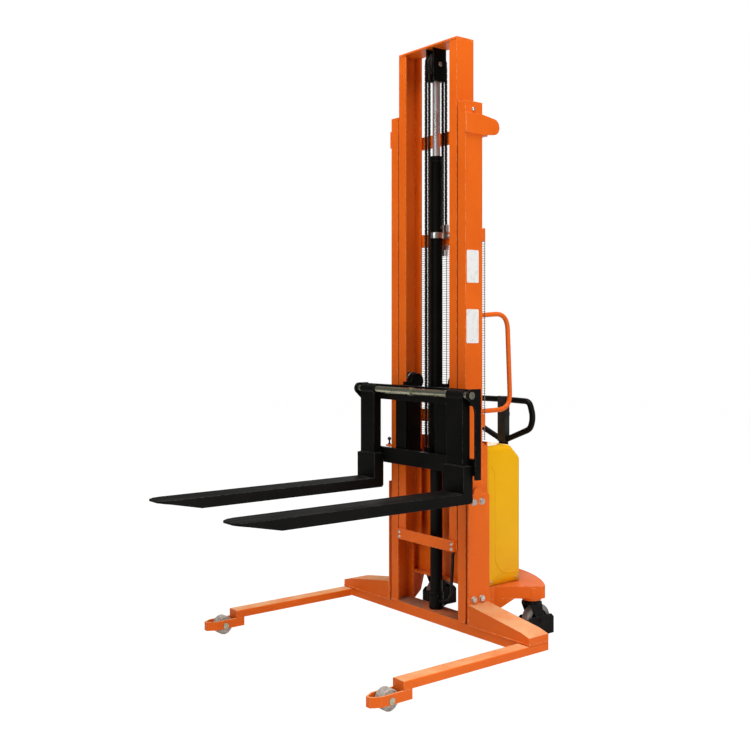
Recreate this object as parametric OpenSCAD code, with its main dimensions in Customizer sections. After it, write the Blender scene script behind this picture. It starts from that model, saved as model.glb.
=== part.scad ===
// Straddle walkie stacker: wide-leg chassis, two-stage mast, one centre lift cylinder with a
// leaf chain over a pulley, hook-on forks on a round shaft, rear power unit, tiller and casters.
// Millimetres, +Z up, forks towards -Y. The origin is the middle of the floor footprint.

/* [Mast] */
// Outside width of the fixed outer mast
mast_width = 502; // [470:1:620]
// Height of the top of the outer mast
outer_mast_top = 2350; // [2000:10:2900]
// Length of the moving inner mast with its top plate
inner_mast_length = 2228; // [1800:10:2800]
// How far the inner mast stands above its lowest position
mast_raise = 284; // [120:2:500]
// Front-to-rear depth of the mast channels
channel_depth = 100; // [84:1:124]
// Width of the mast channel flanges
channel_flange = 47; // [38:1:60]
// Wall thickness of the mast channels
channel_wall = 8; // [6:0.5:10]
// Gap between the outer channel's flange tips and the inner channel's web
nest_gap = 8; // [4:1:16]
// Depth of the flat bars that tie the outer mast behind
crossbar_depth = 18; // [12:1:26]
// Height of the flat bars that tie the outer mast behind
crossbar_height = 56; // [40:1:80]
// Height of the underside of the bar that holds the chain ends
chain_bar_z = 1751; // [1300:1:1850]
// Height of the underside of the lower tie bar
lower_bar_z = 943; // [900:1:1100]

/* [Lift cylinder and chain] */
// Outside diameter of the cylinder barrel
barrel_d = 55; // [45:1:70]
// Inside diameter of the cylinder barrel
barrel_bore = 45; // [36:1:52]
// Diameter of the piston rod
rod_d = 35; // [25:1:40]
// Distance of the cylinder axis behind the front of the mast
cylinder_y = 57; // [50:1:62]
// Height of the top of the cylinder gland
gland_top = 2146; // [1700:1:2500]
// Radius from the pulley axis to the middle of the chain
chain_radius = 50; // [42:1:56]
// Width of one leaf chain
chain_w = 12; // [8:1:16]
// Thickness of the leaf chain in its bending direction
chain_t = 12; // [8:1:14]
// Distance between the two chains' middles
chain_spacing = 22; // [18:1:30]

/* [Base and legs] */
// Distance between the middles of the two straddle legs
leg_track = 1180; // [1000:5:1400]
// Width of a straddle leg
leg_width = 64; // [50:1:80]
// Height of a straddle leg's tube
leg_height = 33; // [28:1:50]
// Distance of the legs' front ends ahead of the mast
leg_reach = 650; // [520:5:800]
// Height of the legs' and beam's underside above the floor
leg_clearance = 65; // [60:1:80]
// Front-to-rear depth of the cross beam
beam_depth = 112; // [108:1:140]
// Thickness of the beam's top plate
top_plate_t = 6; // [4:1:10]
// Thickness of the foot plate under the mast
foot_plate_t = 8; // [5:1:12]
// Height of the wedge boxes beside the mast, above the beam
wedge_height = 87; // [60:1:120]
// Height of the mast side plates' top above the floor
side_plate_top = 660; // [500:5:760]
// Thickness of the mast side plates
side_plate_t = 8; // [6:1:12]
// Gap between the mast's web and a side plate
side_gap = 12; // [4:1:16]

/* [Load rollers] */
// Diameter of a load roller
load_roller_d = 80; // [72:1:100]
// Width of a load roller
load_roller_w = 44; // [34:1:56]
// Distance of the load roller's axle ahead of the leg's end
roller_overhang = 55; // [50:1:80]
// Diameter of the load roller's axle
roller_axle_d = 20; // [16:1:25]
// Thickness of the strap bracket that carries the load roller
bracket_t = 7; // [5:1:9]
// Height of the strap bracket
bracket_height = 38; // [32:1:50]

/* [Carriage] */
// Half the length of the fork shaft between its end plates
shaft_half = 378; // [370:1:460]
// Diameter of the fork shaft
shaft_d = 30; // [25:1:40]
// Distance of the fork shaft ahead of the mast
shaft_front = 91; // [84:1:110]
// Height of the shaft above the top of the forks
shaft_rise = 407; // [360:1:460]
// Height of each horizontal carriage bar
bar_height = 68; // [50:1:80]
// Thickness of each horizontal carriage bar
bar_t = 24; // [16:1:28]
// Distance of the carriage bars' front faces ahead of the mast
bar_front = 62; // [58:1:70]
// Height of the lower bar's underside above the top of the forks
lower_bar_rise = 71; // [50:1:100]
// Thickness of the plates that carry the carriage rollers
roller_plate_t = 16; // [10:1:18]
// Height of the upper carriage rollers above the top of the forks
upper_roller_rise = 444; // [420:1:480]
// Height of the lower carriage rollers above the top of the forks
lower_roller_rise = 104; // [90:1:160]

/* [Forks] */
// Length of a fork from its heel to its tip
fork_length = 1070; // [800:5:1250]
// Width of a fork blade
fork_width = 129; // [100:1:160]
// Thickness of a fork blade
fork_thickness = 44; // [32:1:60]
// Outside width across both forks
fork_spread = 724; // [560:1:730]
// Height of the top of the forks above the floor
fork_top = 686; // [660:1:900]
// Width of a fork shank
shank_width = 100; // [70:1:125]
// Thickness of a fork shank
shank_t = 41; // [30:1:44]
// Height of the heel block above the fork's top
heel_height = 112; // [80:1:150]

/* [Rear platform and casters] */
// Height of the platform's top
platform_top = 240; // [230:1:280]
// Thickness of the platform plate
platform_t = 8; // [5:1:12]
// Height of the platform's skirt
skirt_height = 53; // [40:1:60]
// Radius of the platform's rear edge
rear_radius = 548; // [520:1:640]
// Distance of the centre of the rear edge's arc ahead of the mast front
rear_arc_front = 36; // [0:1:80]
// Diameter of a caster wheel
caster_d = 150; // [120:1:155]
// Width of a caster wheel
caster_w = 46; // [36:1:60]
// Sideways distance of a caster's swivel axis from the middle
caster_x = 320; // [300:1:340]
// Distance of the swivel axes behind the front of the mast
caster_y = 335; // [330:1:350]
// Distance of the wheel's axle behind its swivel axis
caster_trail = 27; // [15:1:32]

/* [Power unit] */
// Width of the power unit's cover
cover_width = 480; // [440:1:496]
// Front-to-rear depth of the cover
cover_depth = 212; // [190:1:230]
// Height of the cover's top above the floor
cover_top = 855; // [780:1:870]
// Wall thickness of the moulded cover
cover_wall = 4; // [3:0.5:6]
// Height of the back panel's top above the floor
panel_top = 876; // [860:1:920]
// Thickness of the back panel
panel_t = 6; // [4:1:8]

/* [Tiller and grab handle] */
// Distance of the tiller behind the front of the mast
tiller_y = 484; // [470:1:488]
// Height of the tiller's pivot above the floor
tiller_pivot_z = 300; // [290:1:340]
// Height of the middle of the tiller loop's top bar
tiller_top = 1036; // [950:2:1200]
// Width of the tiller loop between its tube's middles
loop_width = 380; // [300:2:460]
// Diameter of the tiller loop's tube
loop_tube_d = 28; // [20:1:32]
// Diameter of the tiller's column
tiller_d = 46; // [36:1:50]
// Diameter of the grab handle's tube
grab_tube_d = 21; // [18:1:26]
// Height of the grab handle's upper end
grab_top = 1428; // [1350:2:1600]
// Height of the grab handle's lower end
grab_bottom = 1010; // [1004:1:1150]

/* [Hidden] */
$fn = 48;

// Radial clearance of every turning or sliding fit
fit = 0.05;
// Gap between faces that would touch on different moving bodies
touch_gap = 0.3;
// Clearance of a loose bolt in its hole
bolt_clearance = 0.3;
orange = "#e2651d";
black = "#1d1e20";
yellow = "#e8ae1b";
steel = "#c9c9c4";
nylon = "#c9cbc6";

// Places that several parts share
outer_x = mast_width / 2;
flange_tip_x = outer_x - channel_flange;
inner_x = flange_tip_x - nest_gap;
inner_tip_x = inner_x - channel_flange;
channel_mid_y = channel_depth / 2;
mast_roller_d = channel_depth - 2 * channel_wall - 2 * touch_gap;
stub_d = 24;
leg_x = leg_track / 2;
leg_out_x = leg_x + leg_width / 2;
leg_in_x = leg_x - leg_width / 2;
leg_top = leg_clearance + leg_height;
beam_top = leg_top + top_plate_t;
mast_foot_z = beam_top + foot_plate_t;
inner_lift_gap = 12;
inner_bottom = mast_foot_z + inner_lift_gap + mast_raise;
inner_top_t = 8;
inner_top = inner_bottom + inner_mast_length;
plate_in_x = outer_x + side_gap;
plate_out_x = plate_in_x + side_plate_t;
load_roller_y = -leg_reach - roller_overhang;
bracket_nose_y = load_roller_y - load_roller_d / 2 - bracket_t - 38;
fork_x = (fork_spread - fork_width) / 2;
heel_front_y = -bar_front - 53;
heel_rear_y = -bar_front - touch_gap;
fork_tip_y = heel_front_y - fork_length;
shaft_y = -shaft_front;
shaft_z = fork_top + shaft_rise;
bar_rear_y = -bar_front + bar_t;
upright_t = 16;
upright_rear_y = bar_rear_y + upright_t;
roller_plate_x = inner_tip_x - 9;
pulley_y = cylinder_y - 2;
pulley_head_gap = 14;
pulley_z = inner_top - inner_top_t - chain_radius - chain_t / 2 - pulley_head_gap;
block_bottom = pulley_z - 76;
anchor_clevis = 35;
chain_bar_top = chain_bar_z + crossbar_height;
chain_lug_z = fork_top + 104;
chain_lug_t = 16;
crossbar_rear_y = channel_depth + crossbar_depth;
skirt_bottom = platform_top - skirt_height;
rear_edge_y = rear_radius - rear_arc_front;
caster_axle_y = caster_y + caster_trail;
panel_rear_y = channel_depth + 42;
cover_rear_y = panel_rear_y + cover_depth;
slope_run = 64;
slope_drop = 61;
slope_angle = atan2(slope_run, slope_drop);
head_w = 50;
head_d = 30;
head_bottom = tiller_top - 200;
rocker_y = tiller_y + head_d / 2 + 6.5;
rocker_z = tiller_top - 70;

// The machine's place: the mast's front face stands where the footprint is centred
machine_y = -(fork_tip_y + rear_edge_y) / 2;

// Everything is drawn with the mast's front face at Y = 0 and then moved to its place
module at_mast() { translate([0, machine_y, 0]) children(); }

// Draws its children on both sides, the left one mirrored
module both_sides() {
    children();
    mirror([1, 0, 0]) children();
}

// Round bar along X from x0 to x1 through (y, z)
module bar_x(d, x0, x1, y, z) {
    translate([x0, y, z]) rotate([0, 90, 0]) cylinder(d = d, h = x1 - x0);
}

// Points of a smooth bend round corner p between a and b, starting t before the corner
function bend(a, p, b, t, steps) = let (s = p + t * (a - p) / norm(a - p),
    e = p + t * (b - p) / norm(b - p))
    [for (k = [0 : steps]) let (u = k / steps) (1 - u) * (1 - u) * s + 2 * u * (1 - u) * p + u * u * e];

// A list of corner points with every corner rounded
function rounded(p, t, steps) = [p[0],
    for (i = [1 : len(p) - 2]) each bend(p[i - 1], p[i], p[i + 1], t, steps), p[len(p) - 1]];

// Direction of a path at point i; the ends point the way they are told
function path_dir(p, i, first, last) = i == 0 ? first : (i == len(p) - 1 ? last :
    (p[i + 1] - p[i - 1]) / norm(p[i + 1] - p[i - 1]));

// Ring of n points of radius r round c, square to direction d
function ring(c, d, r, n, side) = let (u0 = cross(d, side), u = u0 / norm(u0), v = cross(d, u))
    [for (k = [0 : n - 1]) c + r * (cos(360 * k / n) * u + sin(360 * k / n) * v)];

// Round tube swept along points p; side is any direction that the path never takes
module swept_tube(p, r, n, first, last, side) {
    points = [for (i = [0 : len(p) - 1]) each ring(p[i], path_dir(p, i, first, last), r, n, side)];
    end = (len(p) - 1) * n;
    faces = concat([[for (k = [0 : n - 1]) k]],
        [for (i = [0 : len(p) - 2]) for (k = [0 : n - 1]) let (j = (k + 1) % n)
            [i * n + k, (i + 1) * n + k, (i + 1) * n + j, i * n + j]],
        [[for (k = [n - 1 : -1 : 0]) end + k]]);
    polyhedron(points, faces, convexity = 4);
}

// Steel channel standing on z = 0, web on the left, open to the right
module channel(height) {
    linear_extrude(height) difference() {
        square([channel_flange, channel_depth]);
        translate([channel_wall, channel_wall])
            square([channel_flange, channel_depth - 2 * channel_wall]);
    }
}

// Flat plate in a vertical plane across the machine, drawn as an outline in Y and Z
module side_profile(x, t) {
    translate([x, 0, 0]) rotate([90, 0, 90]) linear_extrude(t) children();
}

// ---------------------------------------------------------------- base

// Cross beam: a box section between the legs, its top plate and the mast's foot plate
module base_beam() color(orange) at_mast() {
    difference() {
        translate([-leg_in_x, 0, leg_clearance])
            cube([2 * leg_in_x, beam_depth, leg_height]);
        translate([-leg_in_x - 1, top_plate_t, leg_clearance + top_plate_t])
            cube([2 * leg_in_x + 2, beam_depth - 2 * top_plate_t, leg_height - top_plate_t - 3]);
    }
    translate([-leg_out_x, 0, leg_top]) cube([2 * leg_out_x, beam_depth, top_plate_t]);
    translate([-outer_x, 0, beam_top]) cube([2 * outer_x, channel_depth, foot_plate_t]);
}

// One straddle leg: a closed rectangular tube with rounded upper edges and a vent below
module leg() {
    wall = 5;
    edge = 5;
    length = leg_reach + beam_depth;
    difference() {
        translate([leg_x, -leg_reach, leg_clearance]) rotate([-90, 0, 0])
            linear_extrude(length) hull() {
                translate([-leg_width / 2, -1]) square([leg_width, 1]);
                for (side = [-1, 1])
                    translate([side * (leg_width / 2 - edge), edge - leg_height])
                        circle(r = edge, $fn = 32);
            }
        translate([leg_in_x + wall, wall - leg_reach, leg_clearance + wall])
            cube([leg_width - 2 * wall, length - 2 * wall, leg_height - 2 * wall]);
        translate([leg_x, -beam_depth, leg_clearance - 1]) cylinder(d = 8, h = wall + 2);
    }
}
module left_leg() color(orange) at_mast() mirror([1, 0, 0]) leg();
module right_leg() color(orange) at_mast() leg();

// Hollow wedge boxes that tie the mast's side plates to the beam and legs
module wedge_gussets() color(orange) at_mast() both_sides() {
    skin = 6;
    low_end = 27;
    bend_x = leg_out_x - 48;
    bend_z = beam_top + 41;
    translate([0, beam_depth, 0]) rotate([90, 0, 0]) difference() {
        linear_extrude(beam_depth) polygon([[plate_out_x, beam_top], [leg_out_x, beam_top],
            [leg_out_x, beam_top + low_end], [bend_x, bend_z],
            [plate_out_x, beam_top + wedge_height]]);
        translate([0, 0, skin]) linear_extrude(beam_depth - 2 * skin)
            polygon([[plate_out_x + skin, beam_top - 1], [leg_out_x - skin, beam_top - 1],
                [leg_out_x - skin, beam_top + low_end - skin], [bend_x - 1, bend_z - skin - 1],
                [plate_out_x + skin, beam_top + wedge_height - skin - 2]]);
    }
}

// Outline in plan of the strap bracket, grown inwards by t
module bracket_plan(t) {
    chamfer = 21;
    half = leg_width / 2 - t;
    polygon([[-half, -leg_reach + 40], [-half, bracket_nose_y + 38],
        [-half + chamfer - t / 2, bracket_nose_y + t], [half - chamfer + t / 2, bracket_nose_y + t],
        [half, bracket_nose_y + 38], [half, -leg_reach + 40]]);
}

// Strap brackets: bent flat bars with a bevelled nose round each load roller
module roller_brackets() color(orange) at_mast() both_sides() translate([leg_x, 0, 0]) {
    difference() {
        translate([0, 0, leg_clearance - bracket_height])
            linear_extrude(bracket_height) difference() {
                bracket_plan(0);
                translate([0, 1, 0]) bracket_plan(bracket_t);
            }
        bar_x(roller_axle_d + 2 * fit, -leg_width, leg_width, load_roller_y, load_roller_d / 2);
    }
    translate([-leg_width / 2 + bracket_t, -leg_reach, leg_clearance - bracket_height])
        cube([leg_width - 2 * bracket_t, 8, bracket_height]);
}

// Fixed axles of the load rollers, with a thin head on each end
module load_roller_axles() color(steel) at_mast() both_sides() {
    axle_head = 2;
    bar_x(roller_axle_d, leg_in_x, leg_out_x, load_roller_y, load_roller_d / 2);
    bar_x(roller_axle_d + 6, leg_out_x, leg_out_x + axle_head, load_roller_y, load_roller_d / 2);
    bar_x(roller_axle_d + 6, leg_in_x - axle_head, leg_in_x, load_roller_y, load_roller_d / 2);
}

// Nylon load roller with rounded rims and a bored hub
module load_roller() {
    rim = 3;
    r = load_roller_d / 2;
    half = load_roller_w / 2;
    hub_r = roller_axle_d / 2 + fit;
    translate([leg_x, load_roller_y, r]) rotate([0, 90, 0]) rotate_extrude($fn = 96)
        polygon([[hub_r, -half], [r - 12, -half], [r - 11, -half + 2], [r - 7, -half + 2],
            [r - rim, -half], [r, -half + rim], [r, half - rim], [r - rim, half],
            [r - 7, half - 2], [r - 11, half - 2], [r - 12, half], [hub_r, half]]);
}
module left_load_roller() color(nylon) at_mast() mirror([1, 0, 0]) load_roller();
module right_load_roller() color(nylon) at_mast() load_roller();

// Places of the bolts through a side plate, as [y, z]
side_bolt_d = 16;
bolt_pitch = 47;
bolt_places = [for (z = [beam_top + wedge_height + 18, side_plate_top - 33])
    for (y = [channel_mid_y - bolt_pitch / 2 + 2, channel_mid_y + bolt_pitch / 2 + 2]) [y, z]];

// Plate that braces the outer mast, with a rounded lug on its top
module side_plate() {
    front = 0;
    rear = channel_depth + 24;
    lug_r = 26;
    lug_y = channel_mid_y + 8;
    difference() {
        side_profile(plate_in_x, side_plate_t) {
            polygon([[front, beam_top], [rear, beam_top], [rear, side_plate_top - 14],
                [rear - 8, side_plate_top], [front, side_plate_top]]);
            translate([lug_y, side_plate_top]) circle(r = lug_r);
        }
        for (p = bolt_places)
            bar_x(side_bolt_d + bolt_clearance, plate_in_x - 1, plate_out_x + 1, p[0], p[1]);
    }
}
module left_side_plate() color(orange) at_mast() mirror([1, 0, 0]) side_plate();
module right_side_plate() color(orange) at_mast() side_plate();

// Hexagon bolts through both side plates, each with a spacer against the mast
module side_plate_bolts() color(steel) at_mast() both_sides() for (p = bolt_places) {
    bar_x(side_bolt_d, outer_x, plate_out_x, p[0], p[1]);
    bar_x(side_bolt_d + 12, outer_x, plate_in_x, p[0], p[1]);
    translate([plate_out_x, p[0], p[1]]) rotate([0, 90, 0]) {
        cylinder(d = 30, h = 2);
        translate([0, 0, 2]) cylinder(d = 26, h = 9, $fn = 6);
    }
}

// ---------------------------------------------------------------- outer mast

// Fixed outer channels, standing on the foot plate and open to the middle
module outer_channel() {
    translate([outer_x, 0, mast_foot_z]) mirror([1, 0, 0])
        channel(outer_mast_top - mast_foot_z);
}
module outer_mast_left() color(orange) at_mast() mirror([1, 0, 0]) outer_channel();
module outer_mast_right() color(orange) at_mast() outer_channel();

// Flat bar across the back of the outer mast
module crossbar(z) {
    translate([-outer_x, channel_depth, z]) cube([mast_width, crossbar_depth, crossbar_height]);
}
rear_run_y = pulley_y + chain_radius;
front_run_y = pulley_y - chain_radius;
anchor_rod_d = 12;
module chain_crossbar() color(orange) at_mast() difference() {
    crossbar(chain_bar_z);
    for (side = [-1, 1])
        translate([side * chain_spacing / 2, rear_run_y + rear_rod_y, chain_bar_z - 1])
            cylinder(d = anchor_rod_d + bolt_clearance, h = crossbar_height + 2);
}
module lower_crossbar() color(orange) at_mast() crossbar(lower_bar_z);

// Upper tie bar, held behind the chains by a block on each channel and a tongue on the right
upper_bar_z = outer_mast_top - 142;
module upper_tie() color(orange) at_mast() {
    stand_off = 14;
    tongue_z = outer_mast_top - 139;
    tongue_h = 86;
    tongue_r = 35;
    translate([0, stand_off, 0]) crossbar(upper_bar_z);
    both_sides() translate([flange_tip_x, channel_depth, upper_bar_z])
        cube([channel_flange, stand_off, crossbar_height]);
    side_profile(outer_x, side_plate_t) hull() {
        translate([0, tongue_z]) square([channel_depth, tongue_h]);
        translate([channel_depth + 62, tongue_z + tongue_h / 2 - 2]) circle(r = tongue_r);
    }
}

// Plastic pads in the tops of the outer channels that guide the inner mast's webs
module mast_slide_pads() color(nylon) at_mast() both_sides() {
    pad_h = 60;
    pad_low = outer_mast_top - 90;
    translate([inner_x + touch_gap, channel_wall, pad_low])
        cube([outer_x - channel_wall - inner_x - touch_gap, channel_depth - 2 * channel_wall, pad_h]);
}

// Guard panel behind the mast, notched round the grab handle; its wires run inside this sheet
mesh_bottom = lower_bar_z - 58;
mesh_t = 4;
module mesh_guard() color("dimgray") at_mast() difference() {
    translate([1 - outer_x, crossbar_rear_y, mesh_bottom])
        cube([mast_width - 2, mesh_t, chain_bar_top - 8 - mesh_bottom]);
    for (z = [grab_bottom, grab_top + 3]) translate([grab_x, channel_depth, z])
        rotate([-90, 0, 0]) cylinder(d = grab_tube_d + 10, h = 60);
}

// Bent tube handle welded to the rear of the right-hand outer channel
grab_x = outer_x - 17;
tube_sides = 24;
module grab_handle() color(orange) at_mast() {
    reach = channel_depth + 180;
    lean = 10;
    corner = 75;
    swept_tube(rounded([[grab_x, channel_depth, grab_top], [grab_x, reach - lean, grab_top + 12],
        [grab_x, reach + lean, grab_bottom + 3], [grab_x, channel_depth, grab_bottom]], corner, 10),
        grab_tube_d / 2, tube_sides, [0, 1, 0], [0, -1, 0], [1, 0, 0]);
}

// ---------------------------------------------------------------- lift cylinder and chain

// Cylinder barrel with its foot, port and gland
barrel_floor = mast_foot_z + 30;
module cylinder_barrel() color(black) at_mast() translate([0, cylinder_y, 0]) {
    foot_d = barrel_d + 10;
    gland_d = barrel_d + 4;
    gland_h = 23;
    difference() {
        union() {
            translate([0, 0, mast_foot_z]) cylinder(d = barrel_d, h = gland_top - gland_h - mast_foot_z);
            translate([0, 0, mast_foot_z]) cylinder(d = foot_d, h = 62);
            translate([0, 0, mast_foot_z + 66]) cylinder(d = foot_d, h = 10);
            translate([0, 0, gland_top - gland_h]) cylinder(d = gland_d, h = gland_h);
            bar_x(20, 0, port_x, 0, port_z);
        }
        translate([0, 0, barrel_floor]) cylinder(d = barrel_bore, h = gland_top - gland_h - barrel_floor);
        translate([0, 0, gland_top - gland_h - 1]) cylinder(d = rod_d + 2 * fit, h = gland_h + 2);
    }
}

// Zinc strap that holds the barrel to the chain crossbar
module cylinder_clamp() color(steel) at_mast() {
    strap_h = 26;
    strap_t = 6;
    low = chain_bar_z + 26;
    difference() {
        union() {
            translate([0, cylinder_y, low]) cylinder(d = barrel_d + 2 * strap_t, h = strap_h);
            translate([-46, channel_depth - strap_t, low]) cube([92, strap_t, strap_h]);
            translate([-16, cylinder_y, low]) cube([32, channel_depth - cylinder_y, strap_h]);
        }
        translate([0, cylinder_y, low - 1]) cylinder(d = barrel_d, h = strap_h + 2);
    }
    for (side = [-1, 1]) translate([side * 36, channel_depth - strap_t - 5, low + strap_h / 2])
        rotate([-90, 0, 0]) cylinder(d = 13, h = 5, $fn = 6);
}

// Pressure hose: out of the cylinder's port, up in a quarter bend, then back into the panel
port_z = mast_foot_z + 40;
port_x = barrel_d / 2 + 13;
hose_d = 14;
port_bend_r = 60;
hose_x = port_x + port_bend_r;
hose_bend_y = cylinder_y + 7;
hose_bend_z = port_z + 200;
hose_bend_r = panel_rear_y - panel_t - hose_bend_y;
hose_route = concat([for (a = [0 : 15 : 90])
    [port_x + port_bend_r * sin(a), cylinder_y, port_z + port_bend_r * (1 - cos(a))]],
    [for (u = [0.2 : 0.2 : 0.9]) [hose_x, cylinder_y + u * u * (3 - 2 * u) * (hose_bend_y - cylinder_y),
        port_z + port_bend_r + u * (hose_bend_z - port_z - port_bend_r)]],
    [for (a = [0 : 10 : 90]) [hose_x, hose_bend_y + hose_bend_r * (1 - cos(a)),
        hose_bend_z + hose_bend_r * sin(a)]]);
hose_sides = 10;
module hydraulic_hose() color(black) at_mast()
    swept_tube(hose_route, hose_d / 2, hose_sides, [1, 0, 0], [0, 1, 0], [0.31, -0.87, 0.38]);

// Piston rod that carries the inner mast, with its piston in the barrel
rod_foot = barrel_floor + mast_raise + 170;
module piston_rod() color("silver") at_mast() translate([0, cylinder_y, 0]) {
    translate([0, 0, rod_foot]) cylinder(d = rod_d, h = block_bottom - rod_foot);
    translate([0, 0, rod_foot]) cylinder(d = barrel_bore - 2 * fit, h = 40);
}

// Fork head on the rod: two cheeks under the top plate that hold the chain pulley
cheek_t = 6;
cheek_in = chain_spacing / 2 + chain_w / 2 + 3;
pulley_pin_d = 20;
module pulley_block() color(black) at_mast() {
    difference() {
        union() {
            both_sides() side_profile(cheek_in, cheek_t) translate([pulley_y - 38, block_bottom])
                square([76, inner_top - inner_top_t - block_bottom]);
            translate([-cheek_in, cylinder_y - 24, block_bottom]) cube([2 * cheek_in, 48, 24]);
        }
        bar_x(pulley_pin_d + 2 * fit, -cheek_in - 9, cheek_in + 9, pulley_y, pulley_z);
    }
    bar_x(pulley_pin_d, -cheek_in - cheek_t - 3, cheek_in + cheek_t + 3, pulley_y, pulley_z);
}

// Twin-groove chain pulley
module chain_pulley() color("#3a3a3c") at_mast() translate([0, pulley_y, pulley_z])
    rotate([0, 90, 0]) rotate_extrude($fn = 96) {
        root = chain_radius - chain_t / 2 - touch_gap;
        lip = chain_radius - 1;
        half = cheek_in - 0.8;
        groove_out = chain_spacing / 2 + chain_w / 2 + 0.5;
        groove_in = chain_spacing / 2 - chain_w / 2 - 0.5;
        polygon([[pulley_pin_d / 2 + fit, -half], [lip, -half], [lip, -groove_out],
            [root, -groove_out], [root, -groove_in], [lip, -groove_in], [lip, groove_in],
            [root, groove_in], [root, groove_out], [lip, groove_out], [lip, half],
            [pulley_pin_d / 2 + fit, half]]);
    }

// Plain outer shape of the two chains between two heights at depth y
module chain_run(y, low, high) {
    for (side = [-1, 1]) translate([side * chain_spacing / 2 - chain_w / 2, y - chain_t / 2, low])
        cube([chain_w, chain_t, high - low]);
}
front_anchor_top = chain_lug_z + chain_lug_t + anchor_clevis;
rear_anchor_top = chain_bar_top + anchor_clevis;
module lift_chain_front() color("#55565a") at_mast()
    chain_run(front_run_y, front_anchor_top, pulley_z);
module lift_chain_rear() color("#55565a") at_mast()
    chain_run(rear_run_y, rear_anchor_top, pulley_z);

// Chain end bolts: a block over the seat and, rod_y behind the chain, a threaded rod with its nut
nut_h = 22;
module chain_anchors(y, rod_y, seat, rod_below, nut_top) {
    for (side = [-1, 1]) translate([side * chain_spacing / 2, y, 0]) {
        translate([-8, -6, seat]) cube([16, 12 + rod_y, anchor_clevis]);
        translate([0, rod_y, seat - rod_below]) cylinder(d = anchor_rod_d, h = rod_below);
        translate([0, rod_y, nut_top - nut_h]) cylinder(d = anchor_rod_d + 8, h = nut_h, $fn = 6);
    }
}
rear_rod_y = 4;
module rear_chain_anchors() color(steel) at_mast()
    chain_anchors(rear_run_y, rear_rod_y, chain_bar_top, crossbar_height + 50, chain_bar_z);

// ---------------------------------------------------------------- inner mast

// Moving inner channel with the stub axle of its lower roller
mast_roller_z = inner_bottom + 60;
stub_end_x = outer_x - channel_wall - 5;
module inner_channel() {
    translate([inner_x, 0, inner_bottom]) mirror([1, 0, 0])
        channel(inner_mast_length - inner_top_t);
    bar_x(stub_d, inner_x, stub_end_x, channel_mid_y, mast_roller_z);
    bar_x(stub_d + 8, inner_x, inner_x + 3, channel_mid_y, mast_roller_z);
}
module inner_mast_left() color(orange) at_mast() mirror([1, 0, 0]) inner_channel();
module inner_mast_right() color(orange) at_mast() inner_channel();

// Flat plate that ties the inner mast's top
module inner_top_plate() color(orange) at_mast()
    translate([-inner_x, 0, inner_top - inner_top_t])
        cube([2 * inner_x, channel_depth, inner_top_t]);

// Flat bar bolted across the foot of the inner mast
module inner_bottom_strap() color(orange) at_mast() {
    strap_t = 14;
    translate([-inner_x + 8, -strap_t, inner_bottom - 4])
        cube([2 * (inner_x - 8), strap_t, 46]);
}

// Roller that runs between a channel's flanges, centred on its own axis along X
module guide_roller(x0, width, z) {
    translate([x0, channel_mid_y, z]) rotate([0, 90, 0]) difference() {
        rotate_extrude($fn = 96) polygon([[0, 0], [mast_roller_d / 2 - 2, 0],
            [mast_roller_d / 2, 2], [mast_roller_d / 2, width - 2],
            [mast_roller_d / 2 - 2, width], [0, width]]);
        translate([0, 0, -1]) cylinder(d = stub_d + 2 * fit, h = width + 2);
    }
}
module mast_rollers() color("#77787a") at_mast() both_sides()
    guide_roller(inner_x + 3 + touch_gap, stub_end_x - inner_x - 5, mast_roller_z);

// ---------------------------------------------------------------- carriage

lower_bar_low = fork_top + lower_bar_rise;
top_bar_low = shaft_z - 46;
end_plate_t = 8;
head_r = 26;
end_plate_front = -bar_front - 8;

// Welded frame: two bars, the end plates that hold the shaft and the chain lug
module carriage_frame() color(black) at_mast() {
    for (z = [lower_bar_low, top_bar_low])
        translate([-shaft_half, -bar_front, z]) cube([2 * shaft_half, bar_t, bar_height]);
    both_sides() difference() {
        side_profile(shaft_half, end_plate_t) {
            translate([shaft_y, shaft_z]) circle(r = head_r);
            polygon([[end_plate_front, lower_bar_low - 16], [bar_rear_y, lower_bar_low - 16],
                [bar_rear_y, shaft_z + head_r], [shaft_y, shaft_z + head_r],
                [shaft_y - head_r * 0.8, shaft_z - head_r * 0.6],
                [end_plate_front - 7, shaft_z - head_r - 22],
                [end_plate_front, shaft_z - head_r - 46]]);
        }
        bar_x(shaft_d + 2 * fit, shaft_half - 1, shaft_half + end_plate_t + 1, shaft_y, shaft_z);
    }
    difference() {
        translate([-cheek_in, bar_rear_y, chain_lug_z])
            cube([2 * cheek_in, front_run_y + 10 - bar_rear_y, chain_lug_t]);
        for (side = [-1, 1]) translate([side * chain_spacing / 2, front_run_y, chain_lug_z - 1])
            cylinder(d = anchor_rod_d + bolt_clearance, h = chain_lug_t + 2);
    }
    chain_anchors(front_run_y, 0, chain_lug_z + chain_lug_t, chain_lug_t + 36, chain_lug_z);
}

// Uprights: a front flat and a plate into the mast that carries two roller stubs
carriage_stub_end = inner_x - channel_wall - 4;
module carriage_uprights() color(black) at_mast() both_sides() {
    upper_z = fork_top + upper_roller_rise;
    lower_z = fork_top + lower_roller_rise;
    plate_r = 37;
    translate([roller_plate_x - 38, bar_rear_y, lower_bar_low])
        cube([70, upright_t, top_bar_low + bar_height - lower_bar_low]);
    side_profile(roller_plate_x - roller_plate_t, roller_plate_t) {
        translate([upright_rear_y, lower_z - 30])
            square([channel_mid_y + 20 - upright_rear_y, upper_z - lower_z + 30]);
        for (z = [lower_z, upper_z]) translate([channel_mid_y, z]) circle(r = plate_r);
    }
    for (z = [lower_z, upper_z]) {
        bar_x(stub_d, roller_plate_x, carriage_stub_end, channel_mid_y, z);
        bar_x(stub_d + 8, roller_plate_x, inner_tip_x + 1, channel_mid_y, z);
    }
}
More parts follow.
